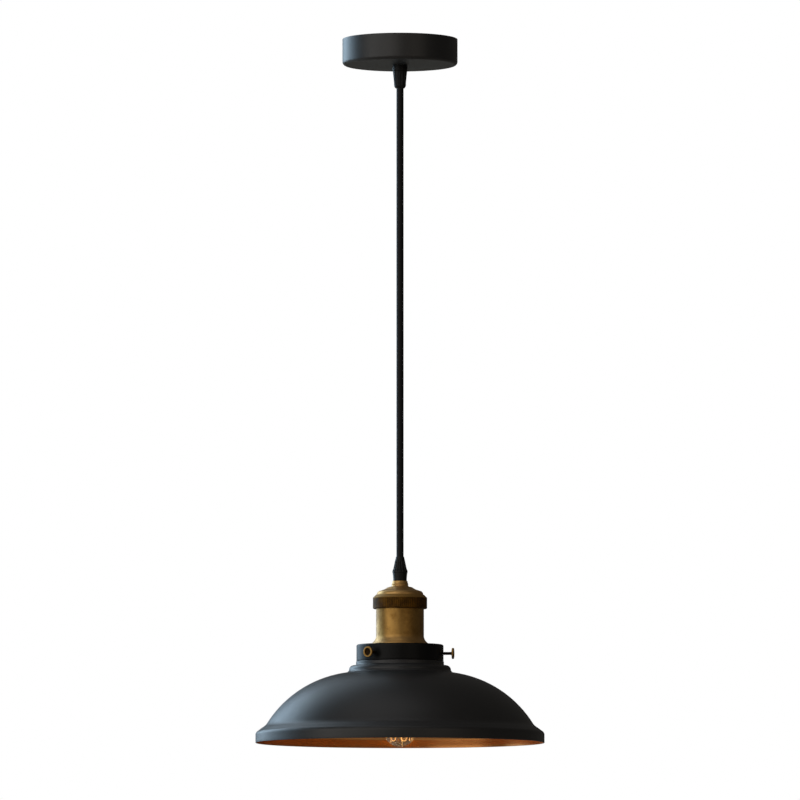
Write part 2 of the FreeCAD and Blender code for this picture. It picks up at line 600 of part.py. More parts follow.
def socket_contacts():
    # The sprung centre contact, the two terminals with their screws, and the rivets that hold them.
    seat = d.insertEnd - 4.0
    tongue = new_body("contact_strip")
    profile = sketch_on(tongue, "XZ_Plane", "contact_profile")
    draw(profile, [
        (-9.3, -seat), (-9.3, -(seat + 0.5)), (-5.0, -(seat + 0.5)), (0.0, -(seat + 2.3)),
        (2.6, -(seat + 1.7)), (2.6, -(seat + 1.2)), (0.0, -(seat + 1.75)), (-4.9, -seat),
    ])
    strip = tongue.newObject("PartDesign::Pad", "contact_pad")
    strip.Profile = profile
    strip.SideType = "Symmetric"
    strip.Length = 5.0
    hole = rod("contact_hole", RIVET_HOLE, 3, (RIVET_X["live"], 0, -(seat + 2.0)))
    cut("centre_contact", tongue, [hole], keep=True)

    top = d.insertTop
    posts, screws, rivets = [], [], []
    ends = (("live", -POST_X, 0.8, seat + 0.5), ("neutral", POST_X, 0, d.insertEnd + 0.6))
    for tag, post, shift, low in ends:
        box = block("post_" + tag, (8.4, 7.0, 6.0), (post - 4.2 + shift, -3.5, -top))
        well = rod("post_well_" + tag, 1.25, 5.0, (post, 0, -(top - 1.2)))
        tap = rod("post_tap_" + tag, 1.4, 5.0, (post, -1.0, -(top - 3.4)), Vector(0, -1, 0))
        posts.append(cut("terminal_post_" + tag, box, [well, tap]))
        shank = rod("post_screw_shank_" + tag, 1.3, 4.6, (post, -1.25, -(top - 3.4)), Vector(0, -1, 0))
        head = rod("post_screw_head_" + tag, 2.3, 1.5, (post, -3.7, -(top - 3.4)), Vector(0, -1, 0))
        screws.append(fuse("post_screw_" + tag, [shank, head]))
        stem = rod("rivet_stem_" + tag, RIVET_HOLE - 0.1, low - top, (RIVET_X[tag], 0, -low))
        dome = rod("rivet_head_" + tag, 1.7, 0.6, (RIVET_X[tag], 0, -(low + 0.6)))
        rivets.append(fuse("rivet_" + tag, [stem, dome]))
    group("insert_terminals", posts, keep=True)
    group("insert_terminal_screws", screws, keep=True)
    group("insert_rivets", rivets, keep=True)

    # The earth terminal, a post brazed under the dome.
    end = d.sheathEnd
    pillar = rod("earth_pillar", 3.0, 5.0, (0, EARTH_Y, -(end + 10.6)))
    way = rod("earth_way", 1.2, 5.0, (0, EARTH_Y - 4.5, -(end + 8.0)), "Y")
    tap = rod("earth_tap", 1.4, 3.0, (0, EARTH_Y, -(end + 11.0)))
    cut("cap_earth_terminal", pillar, [way, tap], keep=True)
    shank = rod("earth_clamp_shank", 1.3, 3.0, (0, EARTH_Y, -(end + 12.2)))
    head = rod("earth_clamp_head", 2.3, 1.5, (0, EARTH_Y, -(end + 13.0)))
    fuse("cap_earth_screw", [shank, head], keep=True)


# ---- gallery and thumbscrews -------------------------------------------------------------------------

HANDS = {"a": 0, "b": -120, "c": 120}   # the three thumbscrews, by their turn from the first


def radial(letter):
    # Direction of one thumbscrew, outwards from the lamp's axis.
    turn = math.radians(d.screwTurn.value + HANDS[letter])
    return Vector(math.cos(turn), math.sin(turn), 0)


def at_screw(letter, distance):
    # A point on one thumbscrew's axis, its two coordinates bound to the sheet.
    turn = "(%s + %d) * 1 deg" % (d.screwTurn.text, HANDS[letter])
    way = radial(letter)
    distance = size(distance)
    return (Size(distance.value * way.x, "%s * cos(%s)" % (distance.text, turn)),
            Size(distance.value * way.y, "%s * sin(%s)" % (distance.text, turn)), -d.screwDepth)


def gallery():
    # A flat black cup on the lampholder's sleeve, and the threaded ring that pins it there.
    rad, wall, top, end = d.galleryRad, d.galleryWall, d.galleryTop, d.galleryEnd
    cup = turned("gallery_cup", [
        (d.sleeveRad + 0.1, -top), (rad - 1.6, -top), (rad, -(top + 1.6), -1.6), (rad, -(end - 0.3)),
        (rad - 0.3, -end), (rad - wall, -end), (rad - wall, -(top + wall)), (d.sleeveRad + 0.1, -(top + wall)),
    ], keep=False)
    holes = [rod("gallery_hole_" + k, d.screwRad + 0.05, 8, at_screw(k, rad - 5.0), radial(k))
             for k in HANDS]
    cut("shade_gallery", cup, holes, keep=True)
    low = top + wall + 0.05
    turned("gallery_retaining_ring", [
        (d.sleeveRad + 0.1, -low), (27.0, -low), (27.0, -(low + 3.0)), (26.5, -(low + 3.5)),
        (22.6, -(low + 3.5)), (22.6, -(low + 6.0)), (d.sleeveRad + 0.1, -(low + 6.0)),
    ])


def thumbscrews():
    # Each screw is a threaded stem and a dished round head pressed on its outer end.
    for letter in HANDS:
        way = radial(letter)
        reach = d.headFace - d.screwTip
        stem = turned("thumbscrew_%s_stem" % letter, [
            (0, 0), (d.screwRad - 0.3, 0), (d.screwRad, 0.3), (d.screwRad, reach - 0.03), (0, reach - 0.03)])
        put(stem, at_screw(letter, d.screwTip), way)
        head = turned("thumbscrew_%s_head" % letter, [
            (0, 0), (d.headRad - 0.5, 0), (d.headRad, 0.5, 0.5), (d.headRad, d.headThick - 0.6),
            (d.headRad - 0.6, d.headThick, 0.6), (3.7, d.headThick), (2.8, d.headThick - 0.9, 1.4),
            (0, d.headThick - 1.1),
        ])
        put(head, at_screw(letter, d.headFace), way)


# ---- shade ---------------------------------------------------------------------------------------------

def on_dome(across):
    # The height of the dome's outer face at a given distance from the axis.
    reach, middle, down = d.domeSweep, d.domeAcross, d.domeDown
    value = math.sqrt(reach.value**2 - (across - middle.value) ** 2) - down.value
    text = "(sqrt(%s^2 - (%s - %s)^2) - %s)" % (reach.text, across, middle.text, down.text)
    return Size(value, text)


def shade():
    # Spun steel: a neck inside the gallery, a collar, a rounded shoulder, the dome and a rim band.
    collar, shoulder, rim = d.collarRad, d.shoulderRad, d.rimRad
    seat = d.galleryEnd
    dome_start, dome_end = 53.4, 129.2
    return spun("shade", [
        (d.neckRad, -d.neckTop), (d.neckRad, -(seat - 0.4)),
        (d.neckRad + 0.7, -(seat + 0.3), 0.7), (collar - 0.6, -(seat + 0.3)), (collar, -(seat + 0.9), -0.6),
        (collar, -(seat + 3.0)), (collar + 1.4, -(seat + 4.4), 1.4), (shoulder - 4.2, -(seat + 4.4)),
        (shoulder, -(seat + 8.6), -4.2), (dome_start, on_dome(dome_start), 3.9),
        (dome_end, on_dome(dome_end), -d.domeSweep), (133.8, -671.25, 16.0), (137.9, -674.3),
        (rim, -677.9, -4.2), (rim, -d.rimEnd),
    ], d.shadeWall)


# ---- bulb ----------------------------------------------------------------------------------------------

def bulb():
    # A clear tubular filament bulb on an E27 cap, 32 mm across and 130 mm long.
    top, end, rad, wall, root = d.bulbTop, d.bulbEnd, d.glassRad, d.glassWall, d.capRoot
    turned("bulb_contact", [
        (0, -(top + 1.5)), (0, -top), (2.0, -top), (4.6, -(top + 1.1), -3.2), (4.6, -(top + 1.5))])
    turned("bulb_insulator", [
        (0, -(top + 1.5)), (5.4, -(top + 1.5)), (10.2, -(top + 5.2)), (10.2, -(top + 6.2)), (0, -(top + 6.2))])

    pitch, first, metal = d.threadPitch, top + 7.4, 0.4
    ridge = 2.3
    outline = [(10.5, -(top + 5.4)), (11.2, -(top + 5.8)), (root, -first)]
    for turn in range(1, 5):
        outline.append((root, -(first + turn * pitch), -ridge))
    skirt = first + 4 * pitch
    outline += [(root + 0.7, -(skirt + 1.2)), (root + 0.7, -(top + 27.5)), (root + 0.3, -(top + 27.5)),
                (root + 0.3, -(skirt + 1.4)), (root - metal, -skirt)]
    for turn in range(3, -1, -1):
        outline.append((root - metal, -(first + turn * pitch), ridge))
    outline += [(10.9, -(top + 6.3)), (10.5, -(top + 6.0))]
    turned("bulb_cap", outline)

    neck, shoulder = 11.4, top + 29.0
    turned("bulb_glass", [
        (neck - wall, -(top + 24.0)), (neck, -(top + 24.0)), (neck, -shoulder),
        (0.5 * (neck + rad), -(shoulder + 5.0), 9.0), (rad, -(shoulder + 10.0), -9.0), (rad, -(end - rad)),
        (0, -end, -rad), (0, -(end - wall)), (rad - wall, -(end - rad), rad - wall),
        (rad - wall, -(shoulder + 10.0)), (0.5 * (neck + rad) - wall, -(shoulder + 5.0), 10.0),
        (neck - wall, -shoulder, -8.0),
    ])
    flare = neck - wall - 0.4
    turned("bulb_stem", [
        (0, -(top + 25.0)), (flare, -(top + 25.0)), (4.0, -(top + 35.0), 14.0), (3.4, -(top + 49.0)),
        (1.0, -(top + 52.0)), (1.0, -(end - 11.5)), (0, -(end - 10.5), -1.1),
    ])


CAGE = 9.6            # radius of the filament's cage
CAGE_START = -2.6     # the first run's place round the bulb, in radians
CAGE_SWEEP = 300.0    # and the degrees that the runs cover
HAIRPINS = 5          # long loops of the filament


def filament():
    # Fine wire carried up and down round the stem on two wheels of hooks, fed by two leads.
    high, low = -(d.bulbTop.value + 62.0), -(d.bulbEnd.value - 8.5)
    runs = 2 * HAIRPINS
    turns = [CAGE_START + i * math.radians(CAGE_SWEEP) / (runs - 1) for i in range(runs)]
    places = [Vector(CAGE * math.cos(turn), CAGE * math.sin(turn), 0) for turn in turns]
    bow = (places[1] - places[0]).Length / 2
    edges = []
    for i, place in enumerate(places):
        ends = (high, low) if i % 2 == 0 else (low, high)
        start, stop = (Vector(place.x, place.y, z) for z in ends)
        edges.append(Part.LineSegment(start, stop).toShape())
        if i + 1 < runs:
            after = Vector(places[i + 1].x, places[i + 1].y, ends[1])
            peak = (stop + after) * 0.5 + Vector(0, 0, math.copysign(bow, ends[1] - ends[0]))
            edges.append(Part.Arc(stop, peak, after).toShape())
    piece = doc.addObject("Part::Feature", "bulb_filament")
    piece.Shape = wire_solid(Part.Wire(edges), 0.22)
    finished(piece, "bulb_filament")

    hooks = []
    under, over = low - bow - 0.45, high + bow + 0.45
    for foot, height, first in ((-(d.bulbEnd.value - 13.0), under, 0), (high + bow - 1.5, over, 1)):
        for i in range(first, runs - 1, 2):
            bend = (places[i] + places[i + 1]) * 0.5
            way = Vector(bend.x, bend.y, 0).normalize()
            start, stop = Vector(1.3 * way.x, 1.3 * way.y, foot), Vector(bend.x, bend.y, height)
            hooks.append(Part.makeCylinder(0.15, (stop - start).Length, start, stop - start))
    support = doc.addObject("Part::Feature", "bulb_supports")
    support.Shape = Part.makeCompound(hooks)
    finished(support, "bulb_supports")

    leads = []
    for place in (places[0], places[-1]):
        way = Vector(place.x, place.y, 0).normalize()
        tip = Vector(place.x, place.y, high + 0.05)
        side = way * 3.9
        path = bent_path([(side.x * 0.72, side.y * 0.72, -(d.bulbTop.value + 50.3)),
                          (side.x * 0.8, side.y * 0.8, -(d.bulbTop.value + 55.0)),
                          (tip.x, tip.y, high + 4.0), (tip.x, tip.y, tip.z)])
        leads.append(wire_solid(path, 0.3))
    pair = doc.addObject("Part::Feature", "bulb_leads")
    pair.Shape = Part.makeCompound(leads)
    finished(pair, "bulb_leads")


# ---- build, check and write ------------------------------------------------------------------------------

ceiling_bracket()
canopy()
side_screws()
terminal_block()
earth_point()
cable()
cores()
top_grip()
lower_grip()
lampholder_shell()
socket_insert()
socket_contacts()
gallery()
thumbscrews()
shade()
bulb()
filament()
doc.recompute()

for item in doc.Objects:
    state = [word for word in item.State if word in ("Invalid", "Error")]
    if state:
        raise RuntimeError("%s: %s" % (item.Name, state))
os.makedirs("parts", exist_ok=True)
for piece in nodes:
    shape = piece.Shape
    if shape.isNull() or not shape.isValid() or not shape.Solids:
        raise RuntimeError("%s has no valid solid" % piece.Label)
    box = shape.BoundBox
    print("%-26s solids %d  volume %10.2f  z %8.2f %8.2f  x %7.2f %7.2f" % (
        piece.Label, len(shape.Solids), shape.Volume, box.ZMin, box.ZMax, box.XMin, box.XMax))
for piece in nodes:
    piece.Shape.exportStep("parts/%s.step" % piece.Label)
print(len(nodes), "sub-parts written")
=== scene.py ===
import json
import math

import bmesh
import bpy
import numpy as np
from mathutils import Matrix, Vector


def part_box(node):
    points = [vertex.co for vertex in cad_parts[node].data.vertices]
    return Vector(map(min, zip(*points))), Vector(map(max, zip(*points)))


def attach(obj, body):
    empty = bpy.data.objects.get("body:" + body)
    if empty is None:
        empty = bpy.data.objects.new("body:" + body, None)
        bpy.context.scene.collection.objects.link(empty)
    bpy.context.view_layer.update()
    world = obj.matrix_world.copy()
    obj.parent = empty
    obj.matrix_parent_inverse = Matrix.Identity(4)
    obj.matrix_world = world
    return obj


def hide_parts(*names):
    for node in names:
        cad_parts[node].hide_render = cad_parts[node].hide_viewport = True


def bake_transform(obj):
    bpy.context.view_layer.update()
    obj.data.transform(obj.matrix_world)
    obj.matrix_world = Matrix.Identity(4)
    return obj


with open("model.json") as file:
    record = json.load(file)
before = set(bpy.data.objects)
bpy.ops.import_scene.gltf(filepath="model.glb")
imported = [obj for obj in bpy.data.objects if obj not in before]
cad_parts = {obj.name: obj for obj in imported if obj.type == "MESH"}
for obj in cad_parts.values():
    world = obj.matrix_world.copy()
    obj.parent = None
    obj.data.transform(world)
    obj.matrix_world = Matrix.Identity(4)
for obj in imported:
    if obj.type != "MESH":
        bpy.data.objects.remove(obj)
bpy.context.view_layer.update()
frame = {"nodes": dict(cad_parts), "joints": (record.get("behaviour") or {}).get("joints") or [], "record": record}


scene = bpy.context.scene
record = frame["record"]
joints = {joint["name"]: joint for joint in frame["joints"]}
slotOf = {part["node"]: part["material_slot"] for part in record["subparts"]}
bodyOf = {node: body for body, nodes in record["behaviour"]["bodies"].items() for node in nodes}
mm = 0.001
# edges sharper than this many degrees stay crisp
crease = 38
# points closer together than this are one point, in metres
sameSpot = 2e-7


class Wire:
    # a node's output; each operator on it adds one Math node
    def __init__(self, graph, socket):
        self.graph = graph
        self.socket = socket

    def __add__(self, other):
        return self.graph.maths("ADD", self, other)

    def __radd__(self, other):
        return self.graph.maths("ADD", other, self)

    def __sub__(self, other):
        return self.graph.maths("SUBTRACT", self, other)

    def __rsub__(self, other):
        return self.graph.maths("SUBTRACT", other, self)

    def __mul__(self, other):
        return self.graph.maths("MULTIPLY", self, other)

    def __rmul__(self, other):
        return self.graph.maths("MULTIPLY", other, self)

    def __truediv__(self, other):
        return self.graph.maths("DIVIDE", self, other)

    def __rtruediv__(self, other):
        return self.graph.maths("DIVIDE", other, self)


class Graph:
    # a node tree under construction; every node of it comes from node()
    def __init__(self, owner):
        owner.use_nodes = True
        self.owner = owner
        self.tree = owner.node_tree
        self.tree.nodes.clear()

    def node(self, kind, settings=None, inputs=None, out=0):
        made = self.tree.nodes.new("ShaderNode" + kind)
        for key, value in (settings or {}).items():
            setattr(made, key, value)
        for key, value in (inputs or {}).items():
            if isinstance(value, Wire):
                self.tree.links.new(value.socket, made.inputs[key])
            elif isinstance(value, tuple) and made.inputs[key].type == "RGBA":
                made.inputs[key].default_value = (*value, 1.0)
            else:
                made.inputs[key].default_value = value
        return Wire(self, made.outputs[out]) if made.outputs else None

    def maths(self, operation, first, second=0.0, clamp=False):
        return self.node("Math", {"operation": operation, "use_clamp": clamp}, {0: first, 1: second})


class Paint(Graph):
    # a material; place is the point of the surface in the object's own coordinates
    def __init__(self, name):
        super().__init__(bpy.data.materials.new(name))
        self.place = self.node("TexCoord", out="Object")
        self.x, self.y, self.z = (
            self.node("SeparateXYZ", inputs={"Vector": self.place}, out=axis) for axis in "XYZ")

    def between(self, value, low, high, reach=(0.0, 1.0)):
        # value carried from low..high to the reach, smoothly, and held at both ends
        return self.node("MapRange", {"interpolation_type": "SMOOTHSTEP"}, {
            "Value": value, "From Min": low, "From Max": high,
            "To Min": reach[0], "To Max": reach[1]}, "Result")

    def noise(self, scale, detail=3.0, roughness=0.55, at=None, stretch=None):
        at = at or self.place
        if stretch:
            at = self.node("VectorMath", {"operation": "MULTIPLY"}, {0: at, 1: stretch})
        return self.node("TexNoise", None, {
            "Vector": at, "Scale": scale, "Detail": detail, "Roughness": roughness}, "Fac")

    def blend(self, amount, first, second):
        return self.node("Mix", {"data_type": "RGBA"}, {0: amount, 6: first, 7: second}, 2)

    def bump(self, height, strength, distance, below=None):
        inputs = {"Height": height, "Strength": strength, "Distance": distance}
        if below:
            inputs["Normal"] = below
        return self.node("Bump", None, inputs, "Normal")

    def marks(self, name):
        # a value stored on the mesh's points
        return self.node("Attribute", {"attribute_name": name}, out="Fac")

    def turnedLines(self, pitch, detail=3.0):
        # fine rings round the lamp's axis: noise read at the direction from the axis, and at the height plus
        # the reach over the pitch
        reach = self.maths("SQRT", self.x * self.x + self.y * self.y)
        ring = self.node("CombineXYZ", None, {
            "X": self.x / reach * 0.8, "Y": self.y / reach * 0.8, "Z": (self.z + reach) / pitch})
        return self.noise(1.0, detail, 0.6, at=ring)

    def finish(self, **inputs):
        inputs = {key.replace("_", " "): value for key, value in inputs.items()}
        shader = self.node("BsdfPrincipled", None, inputs, "BSDF")
        self.node("OutputMaterial", None, {"Surface": shader})
        return self.owner


# The lamp hangs below the ceiling and is seen from a little below its shade, from far off.
cameraLook = {"away": 8.47, "below": 0.999, "aimHeight": -0.3525, "lens": 393.4, "sensor": 36.0}
studioLook = {
    "backdrop": (1.0, 1.0, 1.0), "fill": (1.0, 0.93, 0.84), "fillStrength": 0.065,
    "floorHeight": -1.15, "floorReach": 6.0, "floorColour": (0.50, 0.42, 0.34),
    "floorShade": (0.44, 0.37, 0.30), "floorSeen": (0.90, 0.90, 0.89), "floorHaze": 0.86,
}
lampLook = {
    # place, aim, size across and up, watts, colour
    "windowBehind": ((-2.6, 2.9, 0.7), (0.0, 0.0, -0.40), (2.2, 2.8), 84.0, (0.60, 0.81, 1.0)),
    "windowSide": ((-3.3, 1.35, 0.3), (0.0, 0.0, -0.45), (1.8, 2.4), 27.0, (0.54, 0.78, 1.0)),
    "windowLeft": ((-2.75, -2.25, 0.3), (0.0, 0.0, -0.40), (3.2, 3.0), 26.0, (1.0, 0.98, 0.95)),
    "windowPane": ((-3.35, -2.1, 0.2), (0.0, 0.0, -0.45), (1.4, 2.4), 6.5, (1.0, 0.97, 0.93)),
    "paleFront": ((-1.2, -4.3, 0.8), (0.0, 0.0, -0.45), (2.2, 1.8), 17.0, (1.0, 0.95, 0.89)),
    "paleRight": ((2.2, -3.6, 0.4), (0.0, 0.0, -0.45), (2.4, 2.0), 8.5, (1.0, 0.90, 0.77)),
    "highBehind": ((-1.5, 2.6, 2.3), (0.0, 0.0, -0.60), (2.2, 2.2), 15.0, (0.72, 0.87, 1.0)),
    "ceilingBounce": ((-0.7, -0.8, 2.6), (0.0, 0.0, -0.60), (2.6, 2.6), 12.0, (0.96, 0.97, 1.0)),
}


def aimAt(thing, place, target):
    # the thing stands at the place and looks along its own -Z at the target
    thing.location = place
    thing.rotation_euler = (Vector(target) - Vector(place)).to_track_quat("-Z", "Y").to_euler()
    scene.collection.objects.link(thing)


def makeCamera(look):
    data = bpy.data.cameras.new("frontCamera")
    data.lens = look["lens"]
    data.sensor_width = look["sensor"]
    data.clip_end = 100.0
    camera = bpy.data.objects.new("frontCamera", data)
    aimAt(camera, (0.0, -look["away"], -look["below"]), (0.0, 0.0, look["aimHeight"]))
    scene.camera = camera


def makeLights(lamps):
    for name, (place, target, across, watts, colour) in lamps.items():
        data = bpy.data.lights.new(name, "AREA")
        data.shape = "RECTANGLE"
        data.size, data.size_y = across
        data.energy = watts
        data.color = colour
        aimAt(bpy.data.objects.new(name, data), place, target)


def makeBackdrop(look):
    # plain white where the camera looks past the lamp, and a dim warm room everywhere else
    sky = Graph(bpy.data.worlds.new("studio"))
    seen = sky.node("Background", None, {"Color": look["backdrop"]})
    fill = sky.node("Background", None, {"Color": look["fill"], "Strength": look["fillStrength"]})
    looking = sky.node("LightPath", out="Is Camera Ray")
    mixed = sky.node("MixShader", None, {"Fac": looking, 1: fill, 2: seen})
    sky.node("OutputWorld", None, {"Surface": mixed})
    scene.world = sky.owner
    scene.view_settings.view_transform = "Standard"


def makeFloor(look):
    # A level square of floor, clear when it is looked at from underneath. It looks pale, but throws back
    # only a little warm light.
    reach, height = look["floorReach"], look["floorHeight"]
    mesh = bpy.data.meshes.new("floor")
    corners = [(x * reach, y * reach, height) for x, y in ((-1, -1), (1, -1), (1, 1), (-1, 1))]
    mesh.from_pydata(corners, [], [(0, 1, 2, 3)])
    p = Paint("floor_plain")
    cloud = p.noise(0.7, 3.0)
    pale = p.node("BsdfPrincipled", None, {
        "Base Color": p.blend(p.between(cloud, 0.3, 0.7), look["floorColour"], look["floorShade"]),
        "Roughness": 0.75 + (p.noise(30.0) - 0.5) * 0.1}, "BSDF")
    haze = p.node("Emission", None, {"Color": look["floorSeen"]})
    looking = p.node("LightPath", out="Is Camera Ray") * look["floorHaze"]
    seen = p.node("MixShader", None, {"Fac": looking, 1: pale, 2: haze})
    under = p.node("NewGeometry", out="Backfacing")
    clear = p.node("BsdfTransparent")
    whole = p.node("MixShader", None, {"Fac": under, 1: seen, 2: clear})
    p.node("OutputMaterial", None, {"Surface": whole})
    mesh.materials.append(p.owner)
    floor = bpy.data.objects.new("floor", mesh)
    scene.collection.objects.link(floor)


makeCamera(cameraLook)
makeLights(lampLook)
makeBackdrop(studioLook)
makeFloor(studioLook)
print("stage: camera, lights and floor")


def boxOf(node):
    # a CAD part's lowest and highest corner, in millimetres
    return np.array([list(corner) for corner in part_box(node)]) / mm


def topOf(node):
    # the height of a CAD part's highest point
    return boxOf(node)[1, 2]


def profileLine(points, closed=True, step=0.12):
    # Points are (radius, height) and, where an arc arrives there, the arc's radius, positive where it
    # turns left. The arc's centre is half the chord to its side; it has a point for every step of turn.
    line = [np.array(points[0][:2], float)]
    for start, end in zip(points, points[1:] + (points[:1] if closed else [])):
        p, q = np.array(start[:2], float), np.array(end[:2], float)
        if len(end) < 3:
            line.append(q)
            continue
        bend, half = end[2], np.linalg.norm(q - p) / 2
        left = np.array([p[1] - q[1], q[0] - p[0]]) / (2 * half)
        centre = (p + q) / 2 + left * math.copysign(math.sqrt(max(bend * bend - half * half, 0.0)), bend)
        turn = math.copysign(2 * math.asin(min(1.0, half / abs(bend))), bend)
        angle = np.linspace(0, turn, max(3, math.ceil(abs(turn) / step) + 1))[1:, None]
        spoke, side = p - centre, np.array([centre[1] - p[1], p[0] - centre[0]])
        line.extend(centre + np.cos(angle) * spoke + np.sin(angle) * side)
    return np.array(line[:-1] if closed else line)


def gapTo(line, points):
    # each point's shortest distance to a line of straight runs
    start, run = line[:-1], np.diff(line, axis=0)
    share = np.einsum("psk,sk->ps", points[:, None] - start[None], run)
    share = np.clip(share / np.maximum((run ** 2).sum(1), 1e-12), 0, 1)
    nearest = start[None] + share[..., None] * run[None]
    return np.linalg.norm(points[:, None] - nearest, axis=2).min(axis=1)


def softened(line, corners, edge):
    # The closed line with each named corner cut back by the edge and rounded with a quarter turn:
    # points (1-t)^2 a + 2t(1-t) corner + t^2 b between the two cuts. A cut takes at most mostShare of a run.
    done = []
    mostShare = 0.45
    share = np.linspace(0, 1, 5)[:, None]
    for k, point in enumerate(line):
        if k not in corners:
            done.append(point[None])
            continue
        before, after = line[k - 1] - point, line[(k + 1) % len(line)] - point
        a = point + before / np.linalg.norm(before) * min(edge, mostShare * np.linalg.norm(before))
        b = point + after / np.linalg.norm(after) * min(edge, mostShare * np.linalg.norm(after))
        done.append((1 - share) ** 2 * a + 2 * share * (1 - share) * point + share ** 2 * b)
    return np.vstack(done)


def walled(outer, wall, edge=0.25):
    # Sheet metal: the outer line and the line a wall to its right, joined into one loop with soft edges.
    # Inner points that fold back nearer to the outer line than the wall are left out.
    along = np.gradient(outer, axis=0)
    right = np.stack([along[:, 1], -along[:, 0]], axis=1) / np.linalg.norm(along, axis=1)[:, None]
    inner = outer + right * wall
    nearly = 0.985 * wall
    inner = inner[gapTo(outer, inner) > nearly][::-1]
    loop = np.vstack([outer, inner])
    return softened(loop, {0, len(outer) - 1, len(outer), len(loop) - 1}, edge)


def dense(line, longest, closed=True):
    # the same line with extra points, so that none of its runs is longer than asked
    ends = np.vstack([line, line[:1]]) if closed else line
    parts = np.maximum(1, np.ceil(np.linalg.norm(np.diff(ends, axis=0), axis=1) / longest).astype(int))
    runs = [ends[k] + (ends[k + 1] - ends[k]) * np.linspace(0, 1, n, endpoint=False)[:, None]
            for k, n in enumerate(parts)]
    return np.vstack(runs + ([] if closed else [ends[-1:]]))


def straightRun(radius, start, end, step):
    # rows of one radius from start to end, close enough together to carry a thread
    return [(radius, height) for height in np.linspace(start, end, math.ceil(abs(end - start) / step) + 1)]


def gridPiece(name, points, wrapRows, smooth=crease):
    # points[i, j] is row i along the profile and column j around it, in millimetres; four neighbours make
    # a face
    rows, columns = points.shape[:2]
    i = np.arange(rows if wrapRows else rows - 1)[:, None]
    j = np.arange(columns)[None, :]
    nextI, nextJ = (i + 1) % rows, (j + 1) % columns
    quads = np.stack([
        i * columns + j, i * columns + nextJ, nextI * columns + nextJ, nextI * columns + j], axis=-1)
    mesh = bpy.data.meshes.new(name)
    mesh.from_pydata((points.reshape(-1, 3) * mm).tolist(), [], quads.reshape(-1, 4).tolist())
    return newPiece(name, mesh, smooth)


def newPiece(name, mesh, smooth):
    # doubles at the poles and seams are merged, and every face is turned outwards
    work = bmesh.new()
    work.from_mesh(mesh)
    bmesh.ops.remove_doubles(work, verts=work.verts, dist=sameSpot)
    bmesh.ops.dissolve_degenerate(work, edges=work.edges, dist=sameSpot / 10)
    bmesh.ops.recalc_face_normals(work, faces=work.faces)
    work.to_mesh(mesh)
    work.free()
    mesh.shade_smooth()
    mesh.set_sharp_from_angle(angle=math.radians(smooth))
    piece = bpy.data.objects.new(name, mesh)
    scene.collection.objects.link(piece)
    return piece


def turnedGrid(profile, around, change=None):
    # A profile of (radius, height) rows carried round Z: x = r cos, y = r sin. change(angle, radius,
    # height) is added to the radius.
    angle = np.linspace(0, 2 * math.pi, around, endpoint=False)[None, :]
    radius, height = profile[:, :1], profile[:, 1:2]
    reach = radius + np.zeros_like(angle)
    if change is not None:
        reach = reach + change(angle, radius, height)
    reach = np.maximum(reach, 0.0)
    return np.stack([reach * np.cos(angle), reach * np.sin(angle), height + np.zeros_like(reach)], axis=-1)


def turnedPiece(name, profile, around, closed=True, change=None):
    # a profile turned about Z and made into a piece, with as many points in a ring as around says
    return gridPiece(name, turnedGrid(profile, around, change), closed)


def ramp(value, low, high):
    # 0 below low, 1 above high and a smooth step between
    share = np.clip((value - low) / (high - low), 0, 1)
    return share * share * (3 - 2 * share)


def helix(angle, height, pitch, depth):
    # a right-handed thread cut into a surface: depth times (1 - cos of height over pitch less the turn) / 2
    return -depth * (0.5 - 0.5 * np.cos(2 * math.pi * height / pitch - angle))


def flutes(angle, radius, count, width, depth):
    # round grooves: depth times the root of 1 - (arc from the groove's middle over half its width) squared
    step = 2 * math.pi / count
    arc = radius * np.abs((angle + step / 2) % step - step / 2)
    return -depth * np.sqrt(np.clip(1 - (arc / (width / 2)) ** 2, 0, 1))


def placed(points, origin, direction):
    # points drawn about Z, turned so that Z lies along the direction, and moved to the origin
    direction = np.array(direction, float) / np.linalg.norm(direction)
    across = np.cross([0.0, 0.0, 1.0], direction)
    across = across / np.linalg.norm(across)
    up = np.cross(direction, across)
    x, y, z = (points[..., k:k + 1] for k in range(3))
    return np.array(origin) + x * across + y * up + z * direction


def tubeGrid(path, radius, around, reference):
    # rings square to the path: point + radius (cos side + sin other), with both ends drawn in to the path
    tangent = np.gradient(path, axis=0)
    tangent = tangent / np.linalg.norm(tangent, axis=1)[:, None]
    side = np.cross(tangent, reference)
    side = side / np.linalg.norm(side, axis=1)[:, None]
    other = np.cross(tangent, side)
    angle = np.linspace(0, 2 * math.pi, around, endpoint=False)[None, :, None]
    rings = path[:, None] + radius * (np.cos(angle) * side[:, None] + np.sin(angle) * other[:, None])
    first, last = (np.repeat(end[None, None], around, axis=1) for end in (path[0], path[-1]))
    return np.concatenate([first, rings, last])


def drilled(piece, name, holes):
    # round holes cut by rods of (start, end, radius), in millimetres, through the piece
    rods = []
    for start, end, radius in holes:
        start, end = np.array(start, float), np.array(end, float)
        length = np.linalg.norm(end - start)
        grid = turnedGrid(np.array([[0.0, 0.0], [radius, 0.0], [radius, length], [0.0, length]]), 48)
        rods.append(gridPiece(name, placed(grid, start, end - start), False))
    bpy.context.view_layer.update()
    for rod in rods:
        tool = piece.modifiers.new("hole", "BOOLEAN")
        tool.operation = "DIFFERENCE"
        tool.solver = "EXACT"
        tool.object = rod
    shape = piece.evaluated_get(bpy.context.evaluated_depsgraph_get())
    mesh = bpy.data.meshes.new_from_object(shape)
    piece.modifiers.clear()
    piece.data = mesh
    for rod in rods:
        bpy.data.objects.remove(rod)
    mesh.shade_smooth()
    mesh.set_sharp_from_angle(angle=math.radians(crease))
    return piece


